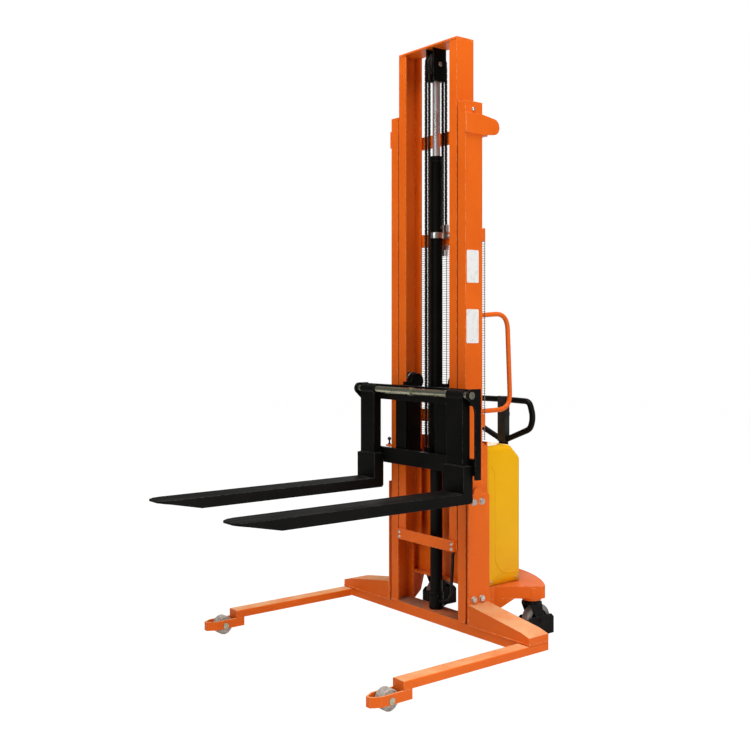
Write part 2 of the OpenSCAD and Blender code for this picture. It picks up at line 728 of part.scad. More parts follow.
module carriage_rollers(z) both_sides()
    guide_roller(inner_tip_x + 1 + touch_gap, carriage_stub_end - inner_tip_x - 2, z);
module upper_carriage_rollers() color("#77787a") at_mast()
    carriage_rollers(fork_top + upper_roller_rise);
module lower_carriage_rollers() color("#77787a") at_mast()
    carriage_rollers(fork_top + lower_roller_rise);

// Ground shaft that the forks hang on, with a collar in the middle
collar_half = 10;
module fork_shaft() color(steel) at_mast() {
    end = shaft_half + end_plate_t + 3;
    bar_x(shaft_d, -end, end, shaft_y, shaft_z);
    bar_x(shaft_d + 8, -collar_half, collar_half, shaft_y, shaft_z);
}

// One fork: blade with a thin tip, heel block, shank and the eye on the shaft
module fork() {
    bottom = fork_top - fork_thickness;
    heel_top = fork_top + heel_height;
    shank_rear_y = heel_front_y + 8 + shank_t;
    eye_d = shaft_d + 12;
    tip_run = 185;
    half = fork_width / 2;
    tip_half = half * 0.55;
    intersection() {
        side_profile(-half, fork_width) polygon([[fork_tip_y, fork_top], [heel_front_y, fork_top],
            [heel_front_y, heel_top], [heel_rear_y, heel_top], [heel_rear_y, bottom + 8],
            [heel_rear_y - 8, bottom], [fork_tip_y + tip_run, bottom],
            [fork_tip_y + 50, fork_top - 16], [fork_tip_y, fork_top - 9]]);
        translate([0, 0, bottom - 1]) linear_extrude(heel_top - bottom + 2)
            polygon([[-half, heel_rear_y + 1], [-half, fork_tip_y + 60],
                [-half + 8, fork_tip_y + 26], [-tip_half, fork_tip_y],
                [tip_half, fork_tip_y], [half - 8, fork_tip_y + 26],
                [half, fork_tip_y + 60], [half, heel_rear_y + 1]]);
    }
    difference() {
        union() {
            translate([-shank_width / 2, heel_front_y + 8, heel_top])
                cube([shank_width, shank_t, shaft_z - heel_top]);
            bar_x(eye_d, -shank_width / 2, shank_width / 2, shaft_y, shaft_z);
        }
        bar_x(shaft_d + 2 * fit, -shank_width, shank_width, shaft_y, shaft_z);
    }
}
module left_fork() color(black) at_mast() translate([-fork_x, 0, 0]) fork();
module right_fork() color(black) at_mast() translate([fork_x, 0, 0]) fork();

// ---------------------------------------------------------------- rear platform and casters

// Outline of the platform in plan: straight flared sides and an arc behind
flare_start_y = channel_depth + 72;
flare_angle = 38.1;
module platform_plan() {
    corner = 22;
    flare_x = 300 * sin(flare_angle);
    flare_y = 300 * cos(flare_angle);
    offset(r = corner, $fn = 32) offset(delta = -corner) intersection() {
        translate([0, -rear_arc_front]) circle(r = rear_radius, $fn = 180);
        polygon([[-outer_x, -400], [-outer_x, flare_start_y],
            [-outer_x - flare_x, flare_start_y + flare_y], [0, 2000],
            [outer_x + flare_x, flare_start_y + flare_y],
            [outer_x, flare_start_y], [outer_x, -400]]);
    }
}
module behind_mast() translate([-1000, channel_depth]) square([2000, 2000]);

// Platform: a top plate, a skirt, and over each caster a cup with a swivel plate and king pin
pad_t = 8;
king_d = 20;
caster_stack = skirt_bottom - 12;
module rear_platform() color(orange) at_mast() {
    skirt_t = 6;
    translate([0, 0, platform_top - platform_t]) linear_extrude(platform_t)
        intersection() { platform_plan(); behind_mast(); }
    translate([0, 0, skirt_bottom]) linear_extrude(skirt_height - platform_t) difference() {
        intersection() { platform_plan(); behind_mast(); }
        translate([0, -1]) offset(delta = -skirt_t) platform_plan();
    }
    both_sides() translate([caster_x, caster_y, 0]) {
        translate([0, 0, skirt_bottom]) difference() {
            cylinder(d = 96, h = skirt_height - platform_t);
            translate([0, 0, pad_t]) cylinder(d = 84, h = skirt_height);
        }
        translate([0, 0, caster_stack]) cylinder(d = 88, h = skirt_bottom - caster_stack);
        translate([0, 0, caster_d + 6]) cylinder(d = king_d, h = caster_stack - caster_d - 6);
    }
}

// Bent plates from the beam's rear face to the skirt, following the platform's flare
module platform_gussets() color(orange) at_mast() both_sides() {
    t = 8;
    low = leg_clearance + 10;
    flare_run = 90;
    end = [outer_x + flare_run * sin(flare_angle), flare_start_y + flare_run * cos(flare_angle)];
    intersection() {
        translate([0, 0, low - 1]) linear_extrude(skirt_bottom - low + 2)
            polygon([[outer_x - t, channel_depth], [outer_x, channel_depth],
                [outer_x, flare_start_y], end,
                end + t * [-cos(flare_angle), sin(flare_angle)],
                [outer_x - t, flare_start_y + t * tan(flare_angle / 2)]]);
        side_profile(0, 2 * outer_x) polygon([[channel_depth, beam_top], [beam_depth, beam_top],
            [beam_depth, low], [end[1], skirt_bottom], [channel_depth, skirt_bottom]]);
    }
}

// Caster fork with its crown, legs, axle bolt and the guard round its wheel
module caster_fork() {
    r = caster_d / 2;
    leg_in = caster_w / 2 + 4;
    leg_t = 5;
    crown_low = r * 2 + 4;
    guard_in = leg_in + leg_t;
    guard_t = 3;
    guard_half = r + 5;
    guard_top = r + 27;
    guard_low = 15;
    axle_d = 16;
    difference() {
        translate([caster_x, caster_y, crown_low])
            cylinder(d = 80, h = caster_stack - crown_low - touch_gap);
        translate([caster_x, caster_y, crown_low - 1])
            cylinder(d = king_d + 2 * fit, h = caster_stack - crown_low + 2);
    }
    difference() {
        for (side = [-1, 1]) side_profile(caster_x + (side > 0 ? leg_in : -leg_in - leg_t), leg_t)
            hull() {
                translate([caster_axle_y, r]) circle(r = 18);
                translate([caster_y - 30, crown_low]) square([62, 12]);
            }
        bar_x(axle_d, caster_x - 60, caster_x + 60, caster_axle_y, r);
    }
    difference() {
        translate([caster_x, caster_axle_y, guard_low])
            linear_extrude(guard_top - guard_low) difference() {
                square([2 * (guard_in + guard_t), 2 * guard_half], center = true);
                square([2 * guard_in, 2 * (guard_half - guard_t)], center = true);
            }
        bar_x(axle_d, caster_x - 60, caster_x + 60, caster_axle_y, r);
        for (side = [-1, 1]) translate([caster_x, caster_axle_y + side * guard_half, guard_top])
            rotate([45, 0, 0]) cube([200, 22, 22], center = true);
    }
    bar_x(axle_d, caster_x - guard_in - guard_t, caster_x + guard_in + guard_t, caster_axle_y, r);
    for (side = [-1, 1])
        translate([caster_x + side * (guard_in + guard_t), caster_axle_y, r])
            rotate([0, side * 90, 0]) cylinder(d = 24, h = 7, $fn = 6);
}
module left_caster_fork() color(black) at_mast() mirror([1, 0, 0]) caster_fork();
module right_caster_fork() color(black) at_mast() caster_fork();

// Caster wheel: tread, recessed web and hub, bored for its axle
module caster_wheel() {
    r = caster_d / 2;
    half = caster_w / 2;
    rim_r = r - 22;
    bore_r = 8 + fit;
    translate([caster_x, caster_axle_y, r]) rotate([0, 90, 0]) rotate_extrude($fn = 96)
        polygon([[bore_r, -half], [20, -half], [22, -half + 12], [rim_r - 2, -half + 12],
            [rim_r, -half + 3], [r - 5, -half + 2], [r, -half + 8], [r, half - 8],
            [r - 5, half - 2], [rim_r, half - 3], [rim_r - 2, half - 12], [22, half - 12],
            [20, half], [bore_r, half]]);
}
module left_caster_wheel() color("#4a4b4d") at_mast() mirror([1, 0, 0]) caster_wheel();
module right_caster_wheel() color("#4a4b4d") at_mast() caster_wheel();

// ---------------------------------------------------------------- power unit

// Back panel: a shallow channel on the platform against the mast, with a shelf behind it
shelf_z = platform_top + 268;
module back_panel() color(orange) at_mast() {
    half = cover_width / 2;
    corner = 34;
    translate([-half, panel_rear_y - panel_t, platform_top])
        cube([cover_width, panel_t, panel_top - platform_top]);
    both_sides() side_profile(half - panel_t, panel_t) hull() {
        translate([channel_depth, platform_top])
            square([panel_rear_y - panel_t - channel_depth, panel_top - platform_top - corner]);
        translate([channel_depth, platform_top]) square([4, panel_top - platform_top]);
        translate([panel_rear_y - panel_t - corner, panel_top - corner])
            intersection() { circle(r = corner); square(corner); }
    }
    translate([-half + 16, panel_rear_y, shelf_z])
        cube([cover_width - 32, cover_depth - 30, panel_t]);
}

// Side outline of the cover: flat top and a slope down to the rear, rounded corners
module cover_outline(wall) {
    r = 16;
    offset(r = r, $fn = 40) offset(delta = -r - wall)
        polygon([[panel_rear_y - 40, platform_top - 60], [cover_rear_y, platform_top - 60],
            [cover_rear_y, cover_top - slope_drop], [cover_rear_y - slope_run, cover_top],
            [panel_rear_y - 40, cover_top]]);
}
cover_bottom = platform_top + 3;

// Distance from the slope's middle outwards, as a place over the sloping face
module on_slope(x) {
    translate([x, cover_rear_y - slope_run * 0.4, cover_top - slope_drop * 0.6])
        rotate([-90 + slope_angle, 0, 0]) children();
}
estop_x = 90;
key_x = -70;
estop_stem_d = 16;
key_barrel_d = 18;

// Moulded cover over the power unit, open in front and below
module power_cover() color(yellow) at_mast() difference() {
    intersection() {
        side_profile(-cover_width / 2, cover_width) cover_outline(0);
        translate([-cover_width, panel_rear_y, cover_bottom])
            cube([2 * cover_width, cover_depth, cover_top]);
    }
    side_profile(-cover_width / 2 + cover_wall, cover_width - 2 * cover_wall)
        cover_outline(cover_wall);
    on_slope(estop_x) translate([0, 0, -30]) cylinder(d = estop_stem_d + 2 * fit, h = 60);
    on_slope(key_x) translate([0, 0, -30]) cylinder(d = key_barrel_d + 2 * fit, h = 60);
}

// Two battery blocks on the platform, each with its terminals
module batteries() color("#303236") at_mast() both_sides() {
    depth = cover_depth - 30;
    height = 205;
    translate([3, panel_rear_y + 2, platform_top]) cube([215, depth, height]);
    for (x = [40, 180]) translate([x, panel_rear_y + 40, platform_top + height])
        cylinder(d = 16, h = 14);
}

// Oil tank with its filler cap
module oil_tank() color("#2c2d30") at_mast() {
    z = shelf_z + panel_t;
    translate([-205, panel_rear_y + 10, z]) cube([190, 140, 190]);
    translate([-110, panel_rear_y + 60, z + 190]) cylinder(d = 36, h = 20);
}

// Pump block with the electric motor standing on it
module pump_motor() color("#3b3c40") at_mast() {
    z = shelf_z + panel_t;
    translate([10, panel_rear_y + 14, z]) cube([150, 130, 60]);
    translate([85, panel_rear_y + 78, z + 60]) cylinder(d = 114, h = 150);
    translate([85, panel_rear_y + 78, z + 210]) cylinder(d = 60, h = 14);
}

// Small bracket on the left of the back panel with a hand-operated lowering lever
lever_x = -cover_width / 2 - 175;
lever_y = channel_depth + 20;
lever_z = 802;
lever_t = 8;
module lever_bracket() color(orange) at_mast() difference() {
    union() {
        translate([0, 0, lever_z]) linear_extrude(lever_t) hull() {
            translate([lever_x, lever_y]) circle(r = 17);
            translate([-cover_width / 2 - 1, lever_y - 17]) square([1, 34]);
        }
        translate([0, lever_y + 4, 0]) rotate([90, 0, 0]) linear_extrude(lever_t)
            polygon([[-cover_width / 2, lever_z - 60], [-cover_width / 2, lever_z],
                [lever_x + 20, lever_z]]);
    }
    translate([lever_x, lever_y, lever_z - 1]) cylinder(d = 8 + 2 * fit, h = lever_t + 2);
}
module valve_lever() color(black) at_mast() translate([lever_x, lever_y, lever_z]) {
    translate([0, 0, -4]) cylinder(d = 8, h = 36);
    translate([0, 0, lever_t + touch_gap]) cylinder(d = 14, h = 6);
    translate([0, 0, 36]) sphere(d = 18);
}

// Key switch with its key, and a mushroom stop button, both on the cover's slope
module key_switch() color(steel) at_mast() on_slope(key_x) {
    translate([0, 0, -14]) cylinder(d = key_barrel_d, h = 18);
    translate([0, 0, touch_gap]) cylinder(d = 26, h = 3.7);
    translate([-1.25, -9, 4]) cube([2.5, 18, 12]);
}
estop_travel = 6;
module emergency_stop() color("#c4161c") at_mast() on_slope(estop_x) {
    translate([0, 0, -16]) cylinder(d = estop_stem_d, h = 24);
    translate([0, 0, estop_travel + 1]) cylinder(d = 28, h = 4);
    translate([0, 0, estop_travel + 5]) cylinder(d1 = 34, d2 = 28, h = 7);
}

// ---------------------------------------------------------------- tiller

tiller_pin_d = 16;
ear_t = 8;
column_eye_w = tiller_d + 2;

// Bracket on the platform: foot plate, two ears and the pivot pin
module tiller_bracket() color(black) at_mast() {
    ear_in = column_eye_w / 2 + touch_gap;
    half = ear_in + ear_t;
    translate([-60, tiller_y - 60, platform_top]) cube([120, 84, 8]);
    difference() {
        both_sides() side_profile(ear_in, ear_t) hull() {
            translate([tiller_y, tiller_pivot_z]) circle(r = 20);
            translate([tiller_y - 46, platform_top + 7]) square([66, 1]);
        }
        bar_x(tiller_pin_d + 2 * fit, -half - 1, half + 1, tiller_y, tiller_pivot_z);
    }
    translate([-half, tiller_y - 52, platform_top + 8]) cube([2 * half, 10, 50]);
    bar_x(tiller_pin_d, -half - 6, half + 6, tiller_y, tiller_pivot_z);
}

// Tiller column with its pivot eye
module tiller_column() color(black) at_mast() difference() {
    union() {
        bar_x(38, -column_eye_w / 2, column_eye_w / 2, tiller_y, tiller_pivot_z);
        translate([0, tiller_y, tiller_pivot_z])
            cylinder(d = tiller_d, h = head_bottom - tiller_pivot_z);
    }
    bar_x(tiller_pin_d + 2 * fit, -column_eye_w, column_eye_w, tiller_y, tiller_pivot_z);
}

// Closed loop handle: one bent tube on each side of the tiller's head
module tiller_loop() color(black) at_mast() both_sides() {
    half = loop_width / 2;
    neck = head_w / 2;
    corner = 26;
    swept_tube(rounded([[neck, tiller_y, head_bottom + 12], [half - 14, tiller_y, head_bottom + 72],
        [half, tiller_y, head_bottom + 130], [half - 22, tiller_y, tiller_top - 2],
        [neck, tiller_y, tiller_top]], corner, 6),
        loop_tube_d / 2, tube_sides, [1, 0, 0], [-1, 0, 0], [0, 1, 0]);
}

// Head between the loop's arms, with two ears behind it for the thumb rocker
rocker_w = 24;
rocker_pin_d = 6;
module tiller_head() color(black) at_mast() {
    translate([-head_w / 2, tiller_y - head_d / 2, head_bottom])
        cube([head_w, head_d, tiller_top + loop_tube_d / 2 + 2 - head_bottom]);
    difference() {
        both_sides() translate([rocker_w / 2 + touch_gap, tiller_y + head_d / 2, rocker_z - 8])
            cube([4, 11, 16]);
        bar_x(rocker_pin_d + 2 * fit, -head_w, head_w, rocker_y, rocker_z);
    }
}

// Thumb rocker for lift and lower
module thumb_rocker() color("#8c8d90") at_mast() {
    pad = 18;
    side_profile(-rocker_w / 2, rocker_w) polygon([[rocker_y + 1, rocker_z - pad],
        [rocker_y + 5, rocker_z - pad], [rocker_y + 4, rocker_z], [rocker_y + 5, rocker_z + pad],
        [rocker_y + 1, rocker_z + pad], [rocker_y - 4, rocker_z + 4],
        [rocker_y - 4, rocker_z - 4]]);
    bar_x(rocker_pin_d, -rocker_w / 2 - 4, rocker_w / 2 + 4, rocker_y, rocker_z);
}

base_beam();
left_leg();
right_leg();
wedge_gussets();
roller_brackets();
load_roller_axles();
left_load_roller();
right_load_roller();
left_side_plate();
right_side_plate();
side_plate_bolts();
outer_mast_left();
outer_mast_right();
chain_crossbar();
lower_crossbar();
upper_tie();
mast_slide_pads();
mesh_guard();
grab_handle();
cylinder_barrel();
cylinder_clamp();
hydraulic_hose();
rear_chain_anchors();
rear_platform();
platform_gussets();
back_panel();
power_cover();
batteries();
oil_tank();
pump_motor();
lever_bracket();
valve_lever();
key_switch();
emergency_stop();
tiller_bracket();
tiller_column();
tiller_loop();
tiller_head();
thumb_rocker();
inner_mast_left();
inner_mast_right();
inner_top_plate();
inner_bottom_strap();
mast_rollers();
piston_rod();
pulley_block();
chain_pulley();
lift_chain_front();
lift_chain_rear();
carriage_frame();
carriage_uprights();
fork_shaft();
upper_carriage_rollers();
lower_carriage_rollers();
left_fork();
right_fork();
left_caster_fork();
right_caster_fork();
left_caster_wheel();
right_caster_wheel();
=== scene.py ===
import math

import bmesh
import bpy
import numpy as np
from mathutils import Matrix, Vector


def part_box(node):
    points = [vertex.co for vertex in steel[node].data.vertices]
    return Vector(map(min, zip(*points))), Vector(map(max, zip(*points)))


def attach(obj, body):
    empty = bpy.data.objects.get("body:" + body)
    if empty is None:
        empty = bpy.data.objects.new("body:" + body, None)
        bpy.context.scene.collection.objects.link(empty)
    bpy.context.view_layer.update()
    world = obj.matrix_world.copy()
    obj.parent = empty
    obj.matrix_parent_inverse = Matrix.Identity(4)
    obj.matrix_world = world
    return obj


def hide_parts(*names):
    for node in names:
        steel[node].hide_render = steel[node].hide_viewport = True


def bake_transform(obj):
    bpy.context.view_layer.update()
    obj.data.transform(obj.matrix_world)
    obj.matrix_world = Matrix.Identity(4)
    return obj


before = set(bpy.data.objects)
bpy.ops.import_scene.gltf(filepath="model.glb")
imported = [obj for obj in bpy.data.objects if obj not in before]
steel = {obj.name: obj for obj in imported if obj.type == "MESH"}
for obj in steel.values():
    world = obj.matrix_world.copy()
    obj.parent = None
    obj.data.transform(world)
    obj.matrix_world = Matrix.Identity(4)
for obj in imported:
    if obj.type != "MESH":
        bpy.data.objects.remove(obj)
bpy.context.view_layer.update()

# ---- Studio: camera at eye height ahead and to the right of the machine, a pale floor and
# four soft lamps in a white room that looks brighter than it shines. The mast's front face
# stands at MAST_Y.
MAST_Y = 0.3365
EYE = (3.4133, -2.6347, 1.3476)
TURN = 51.9
camera = bpy.data.objects.new("camera", bpy.data.cameras.new("camera"))
bpy.context.scene.collection.objects.link(camera)
camera.location = EYE
camera.rotation_euler = (math.radians(90), 0, math.radians(TURN))
camera.data.sensor_width = 36
camera.data.lens = 48.48
camera.data.shift_y = -0.0548
camera.data.clip_end = 60
bpy.context.scene.camera = camera
bpy.context.scene.view_settings.view_transform = "Standard"

ROOM_LIGHT = 0.13
room = bpy.data.worlds.new("white_room")
bpy.context.scene.world = room
room.use_nodes = True
sky = room.node_tree.nodes["Background"]
sky.inputs["Color"].default_value = (1, 1, 1, 1)
backdrop = room.node_tree.nodes.new("ShaderNodeLightPath")
brightness = room.node_tree.nodes.new("ShaderNodeMapRange")
brightness.inputs["To Min"].default_value = ROOM_LIGHT
brightness.inputs["To Max"].default_value = 1.0
room.node_tree.links.new(backdrop.outputs["Is Camera Ray"], brightness.inputs["Value"])
room.node_tree.links.new(brightness.outputs[0], sky.inputs["Strength"])


def soft_box(name, place, target, size, power):
    """Square area light at place, turned so that its -Z axis points at target."""
    lamp = bpy.data.lights.new(name, "AREA")
    lamp.size = size
    lamp.energy = power
    light = bpy.data.objects.new(name, lamp)
    light.location = place
    aim = Vector(target) - Vector(place)
    light.rotation_euler = aim.to_track_quat("-Z", "Y").to_euler()
    bpy.context.scene.collection.objects.link(light)


soft_box("overhead", (0.4, -0.4, 5.4), (0, 0, 0.8), 3.4, 320)
soft_box("from_right", (4.8, 0.6, 2.2), (0, 0.2, 1.2), 2.6, 105)
soft_box("from_front", (0.6, -4.8, 2.0), (0, 0, 1.0), 2.4, 62)
soft_box("from_behind", (-3.2, 4.6, 2.6), (0, 0.3, 1.0), 2.6, 60)

FLOOR_HALF = 14.0
floor_mesh = bpy.data.meshes.new("floor")
floor_mesh.from_pydata(
    [(-FLOOR_HALF, -FLOOR_HALF, 0), (FLOOR_HALF, -FLOOR_HALF, 0),
     (FLOOR_HALF, FLOOR_HALF, 0), (-FLOOR_HALF, FLOOR_HALF, 0)],
    [], [(0, 1, 2, 3)])
floor = bpy.data.objects.new("floor", floor_mesh)
bpy.context.scene.collection.objects.link(floor)
FLOOR_GLOW = 0.86
floor_paint = bpy.data.materials.new("pale_floor")
floor_paint.use_nodes = True
floor_shader = floor_paint.node_tree.nodes["Principled BSDF"]
floor_shader.inputs["Base Color"].default_value = (0.74, 0.73, 0.70, 1)
floor_shader.inputs["Roughness"].default_value = 0.9
floor_shader.inputs["Specular IOR Level"].default_value = 0.1
glow = floor_paint.node_tree.nodes.new("ShaderNodeEmission")
glow.inputs["Strength"].default_value = 1.14
share = floor_paint.node_tree.nodes.new("ShaderNodeMath")
share.operation = "MULTIPLY"
share.inputs[1].default_value = FLOOR_GLOW
floor_mix = floor_paint.node_tree.nodes.new("ShaderNodeMixShader")
seen = floor_paint.node_tree.nodes.new("ShaderNodeLightPath")
for source, target in (
        (seen.outputs["Is Camera Ray"], share.inputs[0]),
        (share.outputs[0], floor_mix.inputs[0]),
        (floor_shader.outputs[0], floor_mix.inputs[1]),
        (glow.outputs[0], floor_mix.inputs[2]),
        (floor_mix.outputs[0],
         floor_paint.node_tree.nodes["Material Output"].inputs["Surface"])):
    floor_paint.node_tree.links.new(source, target)
floor_mesh.materials.append(floor_paint)


# ---- Pressure hose: ribbed rubber hose out of the cylinder's port, up in a quarter bend
# between the cylinder and the mast, then over one wide bend into the back panel. A crimped
# sleeve holds it at each end.
def add_node(tree, kind, **given):
    """Puts a node of that kind in the tree; each value goes to its socket or setting."""
    node = tree.nodes.new(kind)
    for key, value in given.items():
        socket = node.inputs.get(key.replace("_", " "))
        if socket is None:
            setattr(node, key, value)
        elif isinstance(value, bpy.types.NodeSocket):
            tree.links.new(value, socket)
        else:
            socket.default_value = value
    return node


def number(tree, operation, first, second=0.0):
    """Math node on two values or sockets."""
    node = tree.nodes.new("ShaderNodeMath")
    node.operation = operation
    for socket, value in zip(node.inputs, (first, second)):
        if isinstance(value, bpy.types.NodeSocket):
            tree.links.new(value, socket)
        else:
            socket.default_value = value
    return node.outputs[0]


def blend_colour(tree, amount, first, second):
    """Mix of two colours or colour sockets by a factor or socket."""
    return add_node(tree, "ShaderNodeMixRGB", Fac=amount, Color1=first,
                    Color2=second).outputs[0]


def step(tree, value, low, high):
    """Value carried from low..high to 0..1, held at both ends."""
    return add_node(tree, "ShaderNodeMapRange", Value=value, From_Min=low,
                    From_Max=high).outputs[0]


def new_finish(name, **fixed):
    """Material with a Principled shader whose constant sockets are given."""
    finish = bpy.data.materials.new(name)
    finish.use_nodes = True
    shader = finish.node_tree.nodes["Principled BSDF"]
    for key, value in fixed.items():
        shader.inputs[key.replace("_", " ")].default_value = value
    return finish, finish.node_tree, shader


def place_of(tree):
    """Object coordinates, in metres."""
    return add_node(tree, "ShaderNodeTexCoord").outputs["Object"]


def cloud(tree, scale, detail=3.0, rough=0.55, warp=0.0):
    """Noise over the Object coordinates, about 0 to 1."""
    return add_node(tree, "ShaderNodeTexNoise", Vector=place_of(tree), Scale=scale,
                    Detail=detail, Roughness=rough, Distortion=warp).outputs[0]


rubber, tree, shader = new_finish("hose_rubber", Roughness=0.55, Specular_IOR_Level=0.3)
tree.links.new(blend_colour(tree, step(tree, cloud(tree, 60), 0.4, 0.7),
                            (0.004, 0.004, 0.004, 1), (0.014, 0.014, 0.013, 1)),
               shader.inputs["Base Color"])
weave = add_node(tree, "ShaderNodeTexWave", Vector=place_of(tree), Scale=260.0,
                 Distortion=1.0, Detail=1.0)
tree.links.new(add_node(tree, "ShaderNodeBump", Height=weave.outputs[1], Strength=0.25,
                        Distance=0.0006).outputs[0], shader.inputs["Normal"])

HOSE_D = 0.014
PORT = np.array([0.0405, MAST_Y + 0.057, 0.152])
PORT_BEND_R = 0.060
HOSE_X = PORT[0] + PORT_BEND_R
BEND_Y = MAST_Y + 0.064
BEND_Z = 0.352
BEND_R = 0.072


def hose_line():
    """A quarter circle from the port up, a rise that shifts rearwards by the smooth step
    3u2 - 2u3, then a quarter circle to the rear."""
    a = np.radians(np.arange(0, 90.1, 5))
    out = np.stack([PORT[0] + PORT_BEND_R * np.sin(a), np.full_like(a, PORT[1]),
                    PORT[2] + PORT_BEND_R * (1 - np.cos(a))], 1)
    u = np.arange(0.05, 0.96, 0.05)
    rise = np.stack([np.full_like(u, HOSE_X),
                     PORT[1] + u * u * (3 - 2 * u) * (BEND_Y - PORT[1]),
                     out[-1, 2] + u * (BEND_Z - out[-1, 2])], 1)
    turn = np.stack([np.full_like(a, HOSE_X), BEND_Y + BEND_R * (1 - np.cos(a)),
                     BEND_Z + BEND_R * np.sin(a)], 1)
    return np.concatenate([out, rise, turn])


hose_points = hose_line()
hose_curve = bpy.data.curves.new("pressure_hose", "CURVE")
hose_curve.dimensions = "3D"
hose_curve.bevel_depth = HOSE_D / 2
hose_curve.bevel_resolution = 4
hose_curve.use_fill_caps = True
spline = hose_curve.splines.new("POLY")
spline.points.add(len(hose_points) - 1)
spline.points.foreach_set("co", np.c_[hose_points, np.ones(len(hose_points))].ravel())
hose = bpy.data.objects.new("pressure_hose", hose_curve)
bpy.context.scene.collection.objects.link(hose)
hose_curve.materials.append(rubber)
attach(hose, "chassis")
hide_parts("hydraulic_hose")


# ---- Orange enamel on the chassis and both masts: a glossy industrial paint sprayed over the
# welded steelwork, a little uneven, with edges lightened to pale orange (worn paint and a
# painted edge highlight), and dust with a painted top sheen on what faces up.
def edge_group():
    """Node group: how near a surface point is to an edge, from the angle between the true
    normal and a normal rounded over Radius, broken up by noise; and the rounded normal."""
    group = bpy.data.node_groups.new("edge_wear_and_highlight", "ShaderNodeTree")
    for name, low in (("Radius", 0.0015), ("Break", 90.0)):
        group.interface.new_socket(name, in_out="INPUT",
                                   socket_type="NodeSocketFloat").default_value = low
    group.interface.new_socket("Edge", in_out="OUTPUT", socket_type="NodeSocketFloat")
    group.interface.new_socket("Normal", in_out="OUTPUT", socket_type="NodeSocketVector")
    inside = group.nodes.new("NodeGroupInput")
    out = group.nodes.new("NodeGroupOutput")
    rounded = add_node(group, "ShaderNodeBevel", samples=6, Radius=inside.outputs["Radius"])
    true = add_node(group, "ShaderNodeNewGeometry")
    dot = group.nodes.new("ShaderNodeVectorMath")
    dot.operation = "DOT_PRODUCT"
    group.links.new(rounded.outputs[0], dot.inputs[0])
    group.links.new(true.outputs["True Normal"], dot.inputs[1])
    near = step(group, dot.outputs["Value"], 0.995, 0.86)
    patch = add_node(group, "ShaderNodeTexNoise", Vector=place_of(group),
                     Scale=inside.outputs["Break"], Detail=4.0)
    group.links.new(number(group, "MULTIPLY", near,
                           step(group, patch.outputs[0], 0.42, 0.62)), out.inputs["Edge"])
    group.links.new(rounded.outputs[0], out.inputs["Normal"])
    return group


edge_wear_and_highlight_group = edge_group()


def use_edges(tree, radius, break_up=90.0):
    """The edge-mask group in a material, with its own radius and break-up."""
    node = tree.nodes.new("ShaderNodeGroup")
    node.node_tree = edge_wear_and_highlight_group
    node.inputs["Radius"].default_value = radius
    node.inputs["Break"].default_value = break_up
    return node


def facing_up(tree):
    """1 on faces that look up, 0 on the others."""
    normal = add_node(tree, "ShaderNodeNewGeometry").outputs["True Normal"]
    return step(tree, add_node(tree, "ShaderNodeSeparateXYZ", Vector=normal).outputs[2],
                0.75, 0.95)


DEEP = (0.70, 0.104, 0.004, 1)
LIGHT = (0.80, 0.140, 0.008, 1)
# Pale orange for the edges: partly worn paint, partly a painted edge highlight.
EDGE_WEAR_AND_HIGHLIGHT = (0.95, 0.52, 0.24, 1)


def enamel(name, dust_and_sheen_colour, dust_and_sheen_amount, radius=0.0026):
    """Orange enamel between its deep and light shade, with edges lightened to pale orange
    (worn paint and a painted edge highlight), and what faces up made dusty, with a painted top
    sheen, by that colour and amount."""
    finish, tree, shader = new_finish(name, Specular_IOR_Level=0.18)
    edges = use_edges(tree, radius)
    shade = blend_colour(tree, step(tree, cloud(tree, 2.2, 5.0, 0.6, 0.4), 0.3, 0.7),
                         DEEP, LIGHT)
    speck = step(tree, cloud(tree, 340, 2.0), 0.70, 0.78)
    shade = blend_colour(tree, number(tree, "MULTIPLY", speck, 0.35), shade,
                         (0.20, 0.07, 0.02, 1))
    # Edges go pale orange: worn paint and a painted edge highlight.
    shade = blend_colour(tree, number(tree, "MULTIPLY", edges.outputs["Edge"], 0.95),
                         shade, EDGE_WEAR_AND_HIGHLIGHT)
    # What faces up takes the given colour: dust, and where that colour is light, a painted top
    # sheen.
    dust_and_top_sheen = number(tree, "MULTIPLY", facing_up(tree),
                  step(tree, cloud(tree, 7.0, 6.0, 0.65), 0.15, 0.60))
    shade = blend_colour(tree, number(tree, "MULTIPLY", dust_and_top_sheen, dust_and_sheen_amount), shade,
                         dust_and_sheen_colour)
    tree.links.new(shade, shader.inputs["Base Color"])
    gloss = number(tree, "ADD", 0.34, number(tree, "MULTIPLY", cloud(tree, 14, 4.0), 0.16))
    gloss = number(tree, "ADD", gloss, number(tree, "MULTIPLY", dust_and_top_sheen, 0.3))
    tree.links.new(gloss, shader.inputs["Roughness"])
    peel = number(tree, "ADD", cloud(tree, 420, 1.0),
                  number(tree, "MULTIPLY", cloud(tree, 28, 2.0), 1.6))
    tree.links.new(add_node(tree, "ShaderNodeBump", Height=peel, Strength=0.10,
                            Distance=0.0008, Normal=edges.outputs["Normal"]).outputs[0],
                   shader.inputs["Normal"])
    return finish


# Upward faces: on the legs and wedges a light colour that is mostly a painted top sheen; on
# the foot beam dark dust.
orange = enamel("orange_enamel", (0.62, 0.22, 0.07, 1), 0.25)
leg_orange = enamel("orange_enamel_low", (0.72, 0.44, 0.22, 1), 0.75)
foot_orange = enamel("orange_enamel_foot", (0.22, 0.115, 0.070, 1), 0.95)


def finish_nodes(finish, *names):
    """Gives CAD nodes a finish in place of their packed one."""
    for name in names:
        mesh = steel[name].data
        mesh.materials.clear()
        mesh.materials.append(finish)


finish_nodes(orange, "left_side_plate", "right_side_plate", "outer_mast_left",
             "outer_mast_right", "chain_crossbar", "lower_crossbar", "upper_tie",
             "grab_handle", "rear_platform", "platform_gussets", "back_panel",
             "lever_bracket", "inner_mast_left", "inner_mast_right", "inner_top_plate",
             "inner_bottom_strap")
finish_nodes(leg_orange, "left_leg", "right_leg", "wedge_gussets", "roller_brackets")
finish_nodes(foot_orange, "base_beam")
